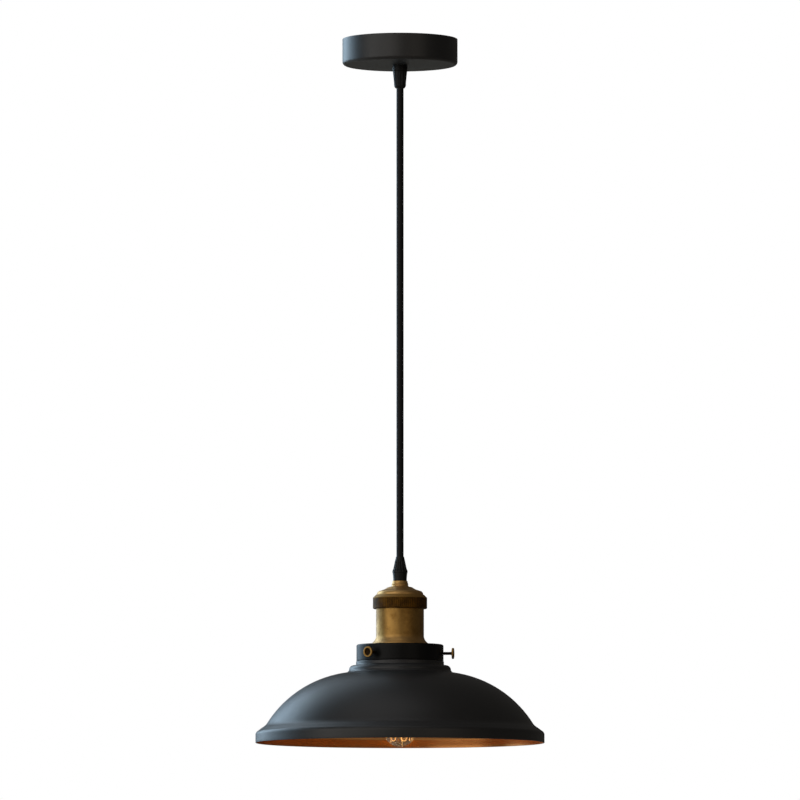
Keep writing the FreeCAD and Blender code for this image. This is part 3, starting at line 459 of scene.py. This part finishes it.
def mark(piece, name, value):
    # value(points) of the mesh's points, in millimetres, stored under the name
    spots = np.empty(len(piece.data.vertices) * 3)
    piece.data.vertices.foreach_get("co", spots)
    layer = piece.data.attributes.new(name, "FLOAT", "POINT")
    layer.data.foreach_set("value", value(spots.reshape(-1, 3) / mm).astype(np.float32))


def stands(piece, node, material=None):
    # the piece rides on the node's body, hides the node and wears its finish
    piece.data.materials.clear()
    piece.data.materials.append(material or finishes[slotOf[node]])
    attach(piece, bodyOf[node])
    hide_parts(node)


blackPaintLook = {
    "paint": (0.014, 0.014, 0.0145), "dusty": (0.026, 0.026, 0.026), "rough": 0.42, "shine": 0.5,
    "peel": 0.00004,
}
# The gallery's black is a darker copy of the canopy's: painted shade for the shadow it hangs in under the
# lampholder. Its paint is also less shiny.
galleryPaintLook = {
    **blackPaintLook, "paint": (0.0035, 0.0035, 0.0033), "dusty": (0.009, 0.009, 0.009), "shine": 0.16,
}
copperLook = {"metal": (0.90, 0.41, 0.135), "dull": (0.70, 0.28, 0.072), "rough": 0.25}
# the brightest colour is for cleaner brass and painted highlight, the darkest for dark patina and painted shade
brassLook = {
    "bright": (0.68, 0.41, 0.155), "clean": (0.40, 0.225, 0.062), "aged": (0.21, 0.102, 0.020),
    "patina_and_shade": (0.022, 0.011, 0.004), "rough": 0.40, "lines": 0.0011,
}
ringLook = {
    "valley": (0.030, 0.012, 0.0014), "rubbed": (0.165, 0.074, 0.010), "bevel": (0.34, 0.19, 0.050),
    "rough": 0.60,
}


def sprayed(p, look):
    # sprayed paint: broad clouds of gloss, fine dust and the skin's small hills
    cloud = p.noise(16.0)
    dust = p.noise(420.0, 4.0, 0.7)
    colour = p.blend(p.between(dust, 0.52, 0.80) * 0.5, look["paint"], look["dusty"])
    rough = look["rough"] + (cloud - 0.5) * 0.12 + (dust - 0.5) * 0.08
    return colour, rough, p.bump(p.noise(950.0, 2.0), 0.35, look["peel"])


def blackPaint(name, look):
    p = Paint(name)
    colour, rough, skin = sprayed(p, look)
    return p.finish(Base_Color=colour, Roughness=rough, Specular_IOR_Level=look["shine"], Normal=skin)


def shadePaint():
    # black outside and copper inside; the stored "inside" runs from 0 to 1 across the rim's edge
    p = Paint("shade_two_tone")
    black, blackRough, skin = sprayed(p, blackPaintLook)
    lines = p.turnedLines(0.0012)
    stain = p.noise(22.0, 4.0, 0.6)
    copper = p.blend(p.between(stain, 0.35, 0.72) * 0.7, copperLook["metal"], copperLook["dull"])
    spray = p.between(p.marks("inside") + (p.noise(300.0) - 0.5) * 0.35, 0.42, 0.62)
    copperRough = copperLook["rough"] + (lines - 0.5) * 0.14 + (stain - 0.5) * 0.10
    return p.finish(
        Base_Color=p.blend(spray, black, copper), Metallic=spray * 0.9,
        Roughness=spray * copperRough + (1.0 - spray) * blackRough,
        Normal=p.bump(lines * spray, 0.25, 0.00005, below=skin))


def agedBrass(name, look):
    # turned brass: fine rings round the axis, cloudy patina, a few dark spots, the stored bright places (cleaner
    # brass and painted highlight on the lampholder's cap and flare) and the stored places of dark patina and
    # painted shade
    p = Paint(name)
    lines = p.turnedLines(look["lines"])
    spots = p.between(p.noise(520.0, 2.0, 0.5), 0.64, 0.74)
    age = p.maths("ADD", p.between(p.noise(75.0, 4.0, 0.6), 0.34, 0.70) * 0.75, spots * 0.5, clamp=True)
    # lighter where the stored value says: cleaner brass and painted highlight
    tone = p.blend(p.marks("bright"), p.blend(age, look["clean"], look["aged"]), look["bright"])
    return p.finish(
        # darker where the stored value says: dark patina and painted shade near the thumbscrews' axes
        Base_Color=p.blend(p.marks("patina_and_shade"), tone, look["patina_and_shade"]), Metallic=1.0 - spots * 0.35,
        Roughness=look["rough"] + (lines - 0.5) * 0.16 + age * 0.12, Normal=p.bump(lines, 0.30, 0.00003))


def knurledBronze():
    # a dark finish rubbed back to brown metal in patches, and a little more on the ribs than between them
    p = Paint("knurled_bronze")
    cloud = p.noise(95.0, 4.0, 0.7)
    grit = p.noise(1500.0, 2.0)
    rubbed = p.between(p.marks("rib") * 0.25 + cloud * 1.1 + (grit - 0.5) * 0.25, 0.46, 0.92)
    knurl = p.blend(rubbed, ringLook["valley"], ringLook["rubbed"])
    return p.finish(
        Base_Color=p.blend(p.marks("bright"), knurl, ringLook["bevel"]), Metallic=0.86 + rubbed * 0.12,
        Roughness=ringLook["rough"] + (cloud - 0.5) * 0.22, Normal=p.bump(grit, 0.3, 0.00004))


def moulded(name, colour, rough=0.46, shine=0.5):
    # moulded plastic: even colour with a faint mottle and a fine tool grain
    p = Paint(name)
    mottle = p.noise(60.0)
    grain = p.noise(1400.0, 2.0)
    lighter = tuple(min(1.0, c * 1.5 + 0.004) for c in colour)
    return p.finish(
        Base_Color=p.blend(p.between(mottle, 0.35, 0.75) * 0.45, colour, lighter),
        Roughness=rough + (mottle - 0.5) * 0.12 + (grain - 0.5) * 0.06, Specular_IOR_Level=shine,
        Normal=p.bump(grain, 0.4, 0.00003))


def cableSheath():
    # black sheath: slight drawing lines along its length and dusty patches
    p = Paint("cable_sheath")
    lines = p.noise(1.0, 2.0, 0.5, stretch=(2600.0, 2600.0, 16.0))
    patches = p.noise(48.0, 4.0, 0.6)
    dusty = p.between(patches, 0.45, 0.8) * 0.5
    return p.finish(
        Base_Color=p.blend(dusty, (0.003, 0.003, 0.0035), (0.009, 0.009, 0.0095)),
        Roughness=0.48 + (patches - 0.5) * 0.16 + (lines - 0.5) * 0.10, Specular_IOR_Level=0.22,
        Normal=p.bump(lines, 0.25, 0.00003))


def plainMetal(name, colour, dark, rough=0.32, scale=90.0):
    # bare or plated metal: fine scratches and cloudy tarnish
    p = Paint(name)
    scratch = p.noise(scale * 14, 3.0, 0.65)
    tarnish = p.between(p.noise(scale, 4.0, 0.6), 0.38, 0.75)
    return p.finish(
        Base_Color=p.blend(tarnish * 0.7, colour, dark), Metallic=1.0 - tarnish * 0.15,
        Roughness=rough + (scratch - 0.5) * 0.18 + tarnish * 0.12, Normal=p.bump(scratch, 0.25, 0.00002))


def stripedCore():
    # green with yellow stripes that wind round the core: the sign of a sine along a slanted line
    p = Paint("earth_core")
    wave = p.maths("SINE", (p.x + p.y * 1.3 + p.z) * 1500.0)
    return p.finish(
        Base_Color=p.blend(p.between(wave, -0.1, 0.1), (0.045, 0.23, 0.04), (0.62, 0.50, 0.03)),
        Roughness=0.42 + (p.noise(300.0) - 0.5) * 0.1)


def glazed(name, colour):
    # glazed porcelain: soft ripples in the glaze and small specks
    p = Paint(name)
    specks = p.between(p.noise(1300.0, 2.0), 0.70, 0.78)
    return p.finish(
        Base_Color=p.blend(specks, colour, (0.32, 0.26, 0.19)), Roughness=0.16 + specks * 0.3,
        Normal=p.bump(p.noise(160.0), 0.2, 0.00006))


def blownGlass(name, tint):
    # tinted glass with the slight unevenness of blowing and a trace of haze
    p = Paint(name)
    haze = p.noise(40.0)
    return p.finish(
        Base_Color=p.blend(haze * 0.3, tint, tuple(0.9 * c for c in tint)), Specular_Tint=tint,
        Roughness=p.between(haze, 0.4, 0.9, (0.0, 0.03)), Transmission_Weight=1.0, IOR=1.46,
        Alpha=0.50 + haze * 0.1, Normal=p.bump(p.noise(55.0, 1.0), 0.15, 0.0002))


glowLook = {"dim": (1.0, 0.40, 0.10), "hot": (1.0, 0.60, 0.24), "strength": 2.3}


def glowingWire():
    # the wire's heat differs a little along it
    p = Paint("glowing_wire")
    heat = p.between(p.noise(35.0, 2.0), 0.3, 0.7)
    return p.finish(
        Base_Color=(0.05, 0.03, 0.02), Roughness=0.45 + heat * 0.1, Emission_Strength=glowLook["strength"],
        Emission_Color=p.blend(heat, glowLook["dim"], glowLook["hot"]))


finishes = {
    "canopy_paint": blackPaint("canopy_black", blackPaintLook),
    "gallery_paint": blackPaint("gallery_black", galleryPaintLook),
    "shade_paint": shadePaint(),
    "aged_brass": agedBrass("aged_brass", brassLook),
    "dark_brass": knurledBronze(),
    "plain_brass": plainMetal("plain_brass", (0.66, 0.44, 0.16), (0.34, 0.20, 0.07), 0.28),
    "grip_plastic": moulded("grip_nylon", (0.004, 0.004, 0.0042), 0.44, 0.25),
    "cable_sheath": cableSheath(),
    "core_brown": moulded("brown_core", (0.10, 0.032, 0.012), 0.40),
    "core_blue": moulded("blue_core", (0.015, 0.09, 0.36), 0.40),
    "core_earth": stripedCore(),
    "zinc_steel": plainMetal("zinc_steel", (0.56, 0.57, 0.58), (0.30, 0.30, 0.28), 0.34),
    "terminal_white": moulded("white_terminal", (0.74, 0.73, 0.69), 0.42),
    "porcelain": glazed("porcelain", (0.83, 0.81, 0.76)),
    "lamp_glass": blownGlass("lamp_glass", (1.0, 0.80, 0.46)),
    "lamp_black_glass": moulded("black_glass", (0.006, 0.006, 0.010), 0.12),
    "lamp_wire": plainMetal("lamp_wire", (0.42, 0.40, 0.38), (0.16, 0.13, 0.11), 0.40, 300.0),
    "lamp_filament": glowingWire(),
}
nickel = plainMetal("nickel_cap", (0.62, 0.60, 0.56), (0.36, 0.33, 0.28), 0.26)
for node, part in frame["nodes"].items():
    part.data.materials.clear()
    part.data.materials.append(finishes[slotOf[node]])
print("stage: finishes")


cableLook = {
    "radius": 3.5, "around": 32, "crease": 50, "exit": 47.9, "visible": 457.1, "clear": 2.0,
    # heights of the two routes' points below the ceiling
    "upper": (16.0, 26.0, 36.0, 46.0, 54.0, 62.0, 72.0),
    "lower": (72.0, 82.0, 92.0, 104.0, 124.0, 160.0, 215.0, 275.0, 335.0, 395.0, 455.0, 505.0, 534.0),
}


def routeLine(depths, name, fine=12):
    # the smooth line of a route: a NURBS spline of order 3 with the route's points as its control points
    curve = bpy.data.curves.new(name, "CURVE")
    curve.dimensions = "3D"
    spline = curve.splines.new("NURBS")
    spline.points.add(len(depths) - 1)
    for point, depth in zip(spline.points, depths):
        point.co = (0.0, 0.0, -depth * mm, 1.0)
    spline.order_u = 3
    spline.use_endpoint_u = True
    spline.resolution_u = fine
    holder = bpy.data.objects.new(name, curve)
    scene.collection.objects.link(holder)
    mesh = bpy.data.meshes.new_from_object(holder)
    spots = np.empty(len(mesh.vertices) * 3)
    mesh.vertices.foreach_get("co", spots)
    bpy.data.objects.remove(holder)
    bpy.data.meshes.remove(mesh)
    return spots.reshape(-1, 3) / mm


def makeCable(look):
    # Two lengths of one straight cable, which meet between the two places where it flexes: round tubes along their
    # routes.
    pieces = {}
    for name, depths in (("cable_upper", look["upper"]), ("cable_lower", look["lower"])):
        path = routeLine(depths, name + "_route")
        grid = tubeGrid(path, look["radius"], look["around"], (1.0, 0.0, 0.0))
        pieces[name] = (gridPiece(name, grid, False, look["crease"]), path)
    upper, lower = pieces["cable_upper"][0], pieces["cable_lower"][0]
    for piece, nodes in ((upper, ("cable_top", "cable_bend")), (lower, ("cable",))):
        piece.data.materials.append(finishes["cable_sheath"])
        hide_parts(*nodes)
    front, side = (-joints[name]["pos_m"][2] / mm for name in ("swing_front_back", "swing_side_to_side"))
    reach = 0.5 * (side - front) - look["clear"]
    -(front - reach) * mm
    -(front + reach) * mm
    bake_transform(upper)
    -(side - reach) * mm
    -(side + reach) * mm
    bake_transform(lower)


makeCable(cableLook)
print("stage: cable")


canopyLook = {
    "wall": 1.0, "corner": 3.4, "hole": 5.15, "sideHole": 2.3, "sideDepth": 9.0, "fine": 2.5, "around": 288,
}


def makeCanopy(look):
    # A spun cup: wall, rounded corner and floor carried round Z, with a hole for the grip and two in its
    # sides.
    low, high = boxOf("canopy")
    radius, corner = high[0], look["corner"]
    outer = profileLine([
        (radius, high[2]), (radius, low[2] + corner), (radius - corner, low[2], -corner),
        (look["hole"], low[2])], closed=False)
    cup = turnedPiece("canopy_cup", dense(walled(outer, look["wall"]), look["fine"]), look["around"])
    height = high[2] - look["sideDepth"]
    holes = [((side * (radius - 5), 0, height), (side * (radius + 5), 0, height), look["sideHole"])
             for side in (-1, 1)]
    stands(drilled(cup, "canopy_drill", holes), "canopy")


gripLook = {"count": 14, "width": 1.5, "depth": 0.5, "around": 14 * 20, "plainAround": 96}


def makeTopGrip(look):
    # the flange under the canopy, and the tapered cap with round grooves from its mouth to its shoulder
    top = topOf("top_grip_body")
    stands(turnedPiece("top_grip_flange", softened(profileLine([
        (3.6, top), (4.5, top), (5.0, top - 0.5), (5.0, top - 8.0), (7.0, top - 8.0), (7.2, top - 8.2),
        (7.2, top - 13.2), (6.9, top - 13.5), (4.9, top - 13.5), (4.9, top - 20.5), (3.6, top - 20.5),
    ]), {4, 5, 6, 7}, 0.35), look["plainAround"]), "top_grip_body")
    top, mouth = topOf("top_grip_cap"), boxOf("top_grip_cap")[0, 2]
    profile = dense(profileLine([
        (5.0, top), (6.7, top), (7.0, top - 0.3, -0.3), (6.9, top - 1.2), (5.8, mouth + 4.4),
        (4.3, mouth, -4.6), (3.7, mouth), (3.7, top - 8.9), (5.0, top - 7.4)]), 0.5)

    def grooves(angle, radius, height):
        # flutes on the outside only, faded towards the mouth and the shoulder
        outside = (radius > 5.2) * ramp(height, mouth + 1.4, mouth + 4.4)
        outside = outside * (1 - ramp(height, top - 1.6, top - 1.0))
        return flutes(angle, radius, look["count"], look["width"], look["depth"]) * outside

    stands(turnedPiece("top_grip_collar", profile, look["around"], change=grooves), "top_grip_cap")


def makeLowerGrip(look):
    # the cap that points up the cable, waisted at its tip and swelling to a bead, and the body it screws on
    top = topOf("lower_grip_cap")
    profile = dense(profileLine([
        (3.7, top), (4.0, top), (4.8, top - 3.4, 12.0), (6.2, top - 10.2), (7.3, top - 13.4, 9.0),
        (7.4, top - 15.0, -3.0), (7.3, top - 15.9), (5.0, top - 15.9), (5.0, top - 9.5),
        (3.7, top - 8.0)]), 0.5)

    def grooves(angle, radius, height):
        # flutes on the outside only, faded towards the tip and the bead's lower edge
        outside = (radius > 4.75) * ramp(top - height, 3.0, 5.5) * (1 - ramp(top - height, 13.6, 15.4))
        outside = outside * (1 - (radius < 5.05) * (top - height > 9.0))
        return flutes(angle, radius, look["count"], look["width"], look["depth"]) * outside

    stands(turnedPiece("lower_grip_collar", profile, look["around"], change=grooves), "lower_grip_cap")
    top = topOf("lower_grip_body")
    stands(turnedPiece("lower_grip_seat", softened(profileLine([
        (3.6, top), (4.9, top), (4.9, top - 6.0), (7.1, top - 6.0), (6.6, top - 11.0), (6.6, top - 13.5),
        (5.0, top - 13.5), (5.0, top - 22.0), (4.5, top - 22.5), (3.6, top - 22.5),
    ]), {3, 4, 5}, 0.4), look["plainAround"]), "lower_grip_body")


makeCanopy(canopyLook)
makeTopGrip(gripLook)
makeLowerGrip(gripLook)
print("stage: canopy and cord grips")


ringShape = {"ribs": 84, "perRib": 8, "depth": 0.22, "low": -12.4, "high": -3.6}
# how much the domed cap is brightened, partly as cleaner brass and partly as painted highlight on its upward face,
# how much painted highlight the body's upward-facing flare gets, and where on the way down the flare's brightness
# starts and is full
polishAndLightShape = {"dome": 0.65, "flare": 0.5, "from": 31.0, "to": 37.0}
sleeveShape = {"pitch": 1.5, "depth": 0.45, "top": -42.6, "end": -52.3, "around": 192}


def makeLampholder(ribbed, threaded, polishAndLight):
    # turned brass: the domed cap, the ribbed ring that holds it down, and the body with its threaded sleeve
    top = topOf("lampholder_cap")
    dome = profileLine([
        (5.05, top), (6.9, top), (7.3, top - 0.5, -0.6), (8.1, top - 3.4, 9.0), (9.2, top - 5.7, 1.6),
        (11.9, top - 6.3), (14.9, top - 8.2), (19.6, top - 9.8), (22.5, top - 13.0, -3.4),
        (22.5, top - 20.5), (21.3, top - 20.5), (21.3, top - 13.2), (18.9, top - 11.2, 2.4),
        (13.9, top - 9.4), (5.05, top - 9.4)])
    cap = turnedPiece("lampholder_dome", dense(dome, 1.5), threaded["around"])
    # the whole cap brightened: partly cleaner brass, partly painted highlight on its upward face
    mark(cap, "bright", lambda spots: np.full(len(spots), polishAndLight["dome"]))
    stands(cap, "lampholder_cap")

    top = topOf("lampholder_ring")
    loop = profileLine([
        (22.6, top), (23.3, top), (25.5, top - 2.2), (26.3, top - 3.2, -1.4), (26.3, top - 12.7),
        (25.3, top - 13.7, -1.0), (23.3, top - 13.7), (23.3, top - 7.2), (22.6, top - 7.2)])

    def ribs(angle, radius, height):
        # rounded ribs: depth times the square of the sine of half the count of turns, faded at both ends
        drop = height - top
        outside = (radius > 25.0) * ramp(drop, ribbed["low"] - 0.4, ribbed["low"] + 0.5) * (
            1 - ramp(drop, ribbed["high"] - 0.5, ribbed["high"] + 0.4))
        return -ribbed["depth"] * np.sin(0.5 * ribbed["ribs"] * angle) ** 2 * outside

    around = ribbed["ribs"] * ribbed["perRib"]
    ring = turnedPiece("lampholder_ribbed_ring", dense(loop, 0.6), around, change=ribs)
    mark(ring, "rib", lambda spots: np.cos(
        0.5 * ribbed["ribs"] * np.arctan2(spots[:, 1], spots[:, 0])) ** 2)
    mark(ring, "bright", lambda spots: ramp(spots[:, 2] - top, ribbed["high"] - 0.1, ribbed["high"] + 0.9))
    stands(ring, "lampholder_ring")

    top = topOf("lampholder_body")
    shell = profileLine([
        (22.1, top), (23.2, top), (23.2, top - 33.2), (26.6, top - 39.3, 9.0), (27.4, top - 40.2),
        (27.4, top - 41.2), *straightRun(20.0, top - 41.2, top - 52.8, 0.19), (18.9, top - 52.8),
        (18.9, top - 39.8), (22.1, top - 35.2, -6.5)])

    def thread(angle, radius, height):
        # a thread on the sleeve only, faded at both ends
        drop = height - top
        outside = (np.abs(radius - 20.0) < 0.3) * ramp(drop, threaded["end"], threaded["end"] + 1.0) * (
            1 - ramp(drop, threaded["top"] - 1.0, threaded["top"]))
        return helix(angle, height, threaded["pitch"], threaded["depth"]) * outside

    body = turnedPiece("lampholder_shell", dense(shell, 2.0), threaded["around"], change=thread)
    # painted highlight on the body's flare, which faces up
    mark(body, "bright", lambda spots: polishAndLight["flare"] * ramp(top - spots[:, 2], polishAndLight["from"], polishAndLight["to"]))
    stands(body, "lampholder_body")


makeLampholder(ringShape, sleeveShape, polishAndLightShape)
print("stage: lampholder")


galleryLook = {"corner": 1.6, "hole": 1.55, "wall": 1.5, "sleeve": 20.1, "around": 256}
lockRingLook = {"notches": 20, "perNotch": 12, "depth": 0.9, "flange": 27.0}


def screwLine(letter):
    # a thumbscrew's axis: its direction outwards and its point at the lamp's axis, in millimetres
    joint = joints["thumbscrew_%s_travel" % letter]
    height = joints["thumbscrew_%s_turn" % letter]["pos_m"][2] / mm
    return np.array(joint["axis"], float), np.array([0.0, 0.0, height])


def makeGallery(look, lock):
    # a flat cup with a rounded top edge and three holes for the thumbscrews, and the notched ring that
    # holds it up from under its top
    low, high = boxOf("shade_gallery")
    radius, wall, top, end = high[0], look["wall"], high[2], low[2]
    loop = softened(profileLine([
        (look["sleeve"], top), (radius - look["corner"], top),
        (radius, top - look["corner"], -look["corner"]), (radius, end), (radius - wall, end),
        (radius - wall, top - wall), (look["sleeve"], top - wall)]), {0}, 0.3)
    loop = softened(loop, {len(loop) - 4, len(loop) - 3}, 0.3)
    cup = turnedPiece("gallery_cup", dense(loop, 2.0), look["around"])
    holes = []
    for letter in "abc":
        way, middle = screwLine(letter)
        holes.append((middle + way * (radius - 4), middle + way * (radius + 4), look["hole"]))
    stands(drilled(cup, "gallery_drill", holes), "shade_gallery")

    top = topOf("gallery_retaining_ring")
    loop = softened(profileLine([
        (20.1, top), (27.0, top), (27.0, top - 3.0), (26.5, top - 3.5), (22.6, top - 3.5),
        (22.6, top - 6.0), (20.1, top - 6.0)]), {1, 4, 5}, 0.3)

    def notches(angle, radius, height):
        # finger notches round the flange: depth times a high power of a cosine
        outside = ramp(radius, lock["flange"] - 2.2, lock["flange"] - 0.6)
        return -lock["depth"] * np.cos(0.5 * lock["notches"] * angle) ** 8 * outside

    around = lock["notches"] * lock["perNotch"]
    ring = turnedPiece("gallery_lock_ring", dense(loop, 0.6), around, change=notches)
    stands(ring, "gallery_retaining_ring")


# clean is the reach from the axis within which the stem and the head's dish get dark patina and painted shade, and
# edge is the width over which they fade
thumbLook = {
    "stem": 1.5, "pitch": 0.5, "depth": 0.16, "tip": 40.5, "seat": 50.67, "face": 50.7,
    "head": 5.35, "thick": 1.9, "ribs": 40, "ribDepth": 0.16, "clean": 4.1, "edge": 1.0,
    "stemAround": 24, "headAround": 200, "crease": 30,
}


def makeThumbscrews(look):
    # a threaded stem and a dished round head, each turned about its own axis and then laid along it
    reach = look["seat"] - look["tip"]
    stem = profileLine([
        (0.0, 0.0), (look["stem"] - 0.4, 0.0), *straightRun(look["stem"], 0.4, reach - 1.5, 0.07),
        (look["stem"], reach), (0.0, reach)], closed=False)
    radius, thick = look["head"], look["thick"]
    head = profileLine([
        (0.0, 0.0), (radius - 0.5, 0.0), (radius, 0.5, 0.5), (radius, thick - 0.6),
        (radius - 0.6, thick, 0.6), (3.7, thick), (2.8, thick - 0.9, 1.4), (0.0, thick - 1.1)], closed=False)

    def thread(angle, radius, height):
        # a thread on the stem, faded before its tip and before the head
        outside = (radius > look["stem"] - 0.1) * ramp(height, 0.4, 0.9)
        outside = outside * (1 - ramp(height, reach - 2.2, reach - 1.6))
        return helix(angle, height, look["pitch"], look["depth"]) * outside

    def ribs(angle, radius, height):
        # ribs on the head's edge: depth times the square of the sine of half the count of turns
        outside = ramp(radius, look["head"] - 0.5, look["head"] - 0.05)
        return -look["ribDepth"] * np.sin(0.5 * look["ribs"] * angle) ** 2 * outside

    parts = (
        ("stem", stem, look["tip"], look["stemAround"], thread),
        ("head", dense(head, 0.45, False), look["face"], look["headAround"], ribs))
    for letter in "abc":
        way, middle = screwLine(letter)
        for part, line, start, around, change in parts:
            name = "thumbscrew_%s_%s" % (letter, part)
            grid = placed(turnedGrid(line, around, change), middle + way * start, way)
            piece = gridPiece(name + "_turned", grid, False, look["crease"])
            # Dark patina and painted shade lie near the axis, on the stem and in the dish of the head, where
            # (point - middle) x way is short.
            mark(piece, "patina_and_shade", lambda spots: ramp(
                np.linalg.norm(np.cross(spots - middle, way), axis=1), look["clean"],
                look["clean"] - look["edge"]))
            stands(piece, name)


makeGallery(galleryLook, lockRingLook)
makeThumbscrews(thumbLook)
print("stage: gallery and thumbscrews")


shadeLook = {
    "wall": 1.0, "fine": 2.6, "around": 320, "collar": 42.6, "shoulder": 49.4,
    # the dome's arc: its radius, its centre across and down from the top of the neck, its start and its end
    "sweep": 106.6, "across": 38.5, "down": 130.6, "start": 53.4, "stop": 129.2,
}


def makeShade(look):
    # spun steel: neck, collar, rounded shoulder, dome and rim band in one outline, turned about Z
    low, high = boxOf("shade")
    top, end, rim = high[2], low[2], high[0]
    collar, shoulder, seat = look["collar"], look["shoulder"], top - 13.5

    def onDome(across):
        # the dome's height: its centre's, plus the root of radius squared less (across - centre) squared
        return top - look["down"] + math.sqrt(look["sweep"] ** 2 - (across - look["across"]) ** 2)

    outer = profileLine([
        (rim - 99.6, top), (rim - 99.6, seat + 0.4), (rim - 98.9, seat - 0.3, 0.7),
        (collar - 0.6, seat - 0.3), (collar, seat - 0.9, -0.6), (collar, seat - 3.0),
        (collar + 1.4, seat - 4.4, 1.4), (shoulder - 4.2, seat - 4.4), (shoulder, seat - 8.6, -4.2),
        (look["start"], onDome(look["start"]), 3.9), (look["stop"], onDome(look["stop"]), -look["sweep"]),
        (133.8, end + 14.45, 16.0), (137.9, end + 11.4), (rim, end + 7.8, -4.2), (rim, end),
    ], closed=False, step=0.05)
    dome = turnedPiece("shade_spun", dense(walled(outer, look["wall"]), look["fine"]), look["around"])
    line = dense(outer, 1.0, False)

    def inside(spots):
        # 0 on the outer line, rising to 1 a wall's thickness from it
        section = np.stack([np.hypot(spots[:, 0], spots[:, 1]), spots[:, 2]], axis=1)
        return np.clip(gapTo(line, section) / look["wall"], 0, 1)

    mark(dome, "inside", inside)
    stands(dome, "shade")


makeShade(shadeLook)
print("stage: shade")


bulbLook = {
    "root": 12.2, "crest": 13.05, "pitch": 3.629, "glass": 16.0, "wall": 1.0, "neck": 11.4,
    "capAround": 128, "around": 96, "smallAround": 64,
}
cageLook = {
    "radius": 9.6, "start": -2.6, "sweep": 300.0, "runs": 10, "wire": 0.22, "top": 62.0, "foot": 121.5,
    # points along a run, along a bend and round the wire
    "runPoints": 48, "bendPoints": 12, "around": 10, "crease": 60,
}


def makeBulb(look):
    # glass tube, flared stem, rolled-thread cap, black insulator and end contact, all turned about Z
    top, end = topOf("bulb_contact"), boxOf("bulb_glass")[0, 2]
    root, rise, pitch = look["root"], look["crest"] - look["root"], look["pitch"]
    first, last = top - 7.0, top - 7.0 - 4.3 * pitch

    def rolled(angle, radius, height):
        # a round thread: rise times (1 + cos of height over pitch less the turn) / 2, faded at both ends
        shape = rise * (0.5 + 0.5 * np.cos(2 * math.pi * height / pitch - angle))
        faded = ramp(height, last, last + 2.0) * (1 - ramp(height, first - 1.4, first))
        return shape * faded * (np.abs(radius - root + 0.2) < 0.3)

    outer = [(10.5, top - 5.4), (11.2, top - 5.8), *straightRun(root, first, last, 0.3)]
    skirt = [
        (root + 0.7, last - 1.2), (root + 0.7, top - 27.5), (root + 0.3, top - 27.5),
        (root + 0.3, last - 1.4)]
    inner = [*straightRun(root - 0.4, last, first, 0.3), (10.9, top - 6.3), (10.5, top - 6.0)]
    line = dense(profileLine(outer + skirt + inner), 1.5)
    cap = turnedPiece("bulb_thread_cap", line, look["capAround"], change=rolled)
    stands(cap, "bulb_cap", nickel)

    insulator = profileLine([
        (0.0, top - 1.5), (5.4, top - 1.5), (10.2, top - 5.2, -6.5), (10.2, top - 6.2),
        (0.0, top - 6.2)], False)
    insulator = softened(insulator, {1}, 0.3)
    black = turnedPiece("bulb_black_insulator", insulator, look["around"], closed=False)
    stands(black, "bulb_insulator")
    contact = profileLine([
        (0.0, top - 1.5), (4.6, top - 1.5), (4.6, top - 1.1), (2.0, top, 3.2), (0.0, top)], False)
    stands(turnedPiece("bulb_end_contact", contact, look["smallAround"], closed=False), "bulb_contact")

    neck, rad, wall, shoulder = look["neck"], look["glass"], look["wall"], top - 29.0
    middle = 0.5 * (neck + rad)
    glass = profileLine([
        (neck - wall, top - 24.0), (neck, top - 24.0), (neck, shoulder), (middle, shoulder - 5.0, 9.0),
        (rad, shoulder - 10.0, -9.0), (rad, end + rad), (0.0, end, -rad), (0.0, end + wall),
        (rad - wall, end + rad, rad - wall), (rad - wall, shoulder - 10.0),
        (middle - wall, shoulder - 5.0, 10.0), (neck - wall, shoulder, -8.0)], step=0.07)
    stands(turnedPiece("bulb_blown_glass", dense(glass, 4.0), look["around"]), "bulb_glass")

    flare = neck - wall - 0.4
    stem = profileLine([
        (0.0, top - 25.0), (flare, top - 25.0), (4.0, top - 35.0, 14.0), (3.4, top - 49.0),
        (1.0, top - 52.0), (1.0, end + 11.5), (0.0, end + 10.5, -1.1)], False)
    stem = dense(stem, 2.0, False)
    stands(turnedPiece("bulb_glass_stem", stem, look["smallAround"], closed=False), "bulb_stem")


def makeFilament(look):
    # One wire up and down round the stem: run i stands at radius (cos, sin) of start + i steps, and a half
    # circle of half the spacing joins each run to the next.
    top = topOf("bulb_contact")
    high, low = top - look["top"], top - look["foot"]
    runs = look["runs"]
    turn = look["start"] + math.radians(look["sweep"]) / (runs - 1) * np.arange(runs)
    place = look["radius"] * np.stack([np.cos(turn), np.sin(turn)], axis=1)
    bow = np.linalg.norm(place[1] - place[0]) / 2
    rise = np.linspace(0, 1, look["runPoints"], endpoint=False)[:, None]
    swing = np.linspace(0, math.pi, look["bendPoints"], endpoint=False)[:, None]
    legs = []
    for k in range(runs):
        start, stop = (high, low) if k % 2 == 0 else (low, high)
        foot = np.repeat(place[k:k + 1], len(rise), axis=0)
        legs.append(np.hstack([foot, start + (stop - start) * rise]))
        if k + 1 < runs:
            middle, half = (place[k] + place[k + 1]) / 2, (place[k] - place[k + 1]) / 2
            beyond = stop + math.copysign(bow, stop - start) * np.sin(swing)
            legs.append(np.hstack([middle + half * np.cos(swing), beyond]))
    path = np.vstack(legs)
    outward = np.hstack([path[:, :2] / look["radius"], np.zeros((len(path), 1))])
    grid = tubeGrid(path, look["wire"], look["around"], outward)
    stands(gridPiece("bulb_glowing_wire", grid, False, look["crease"]), "bulb_filament")


makeBulb(bulbLook)
makeFilament(cageLook)
print("stage: bulb")
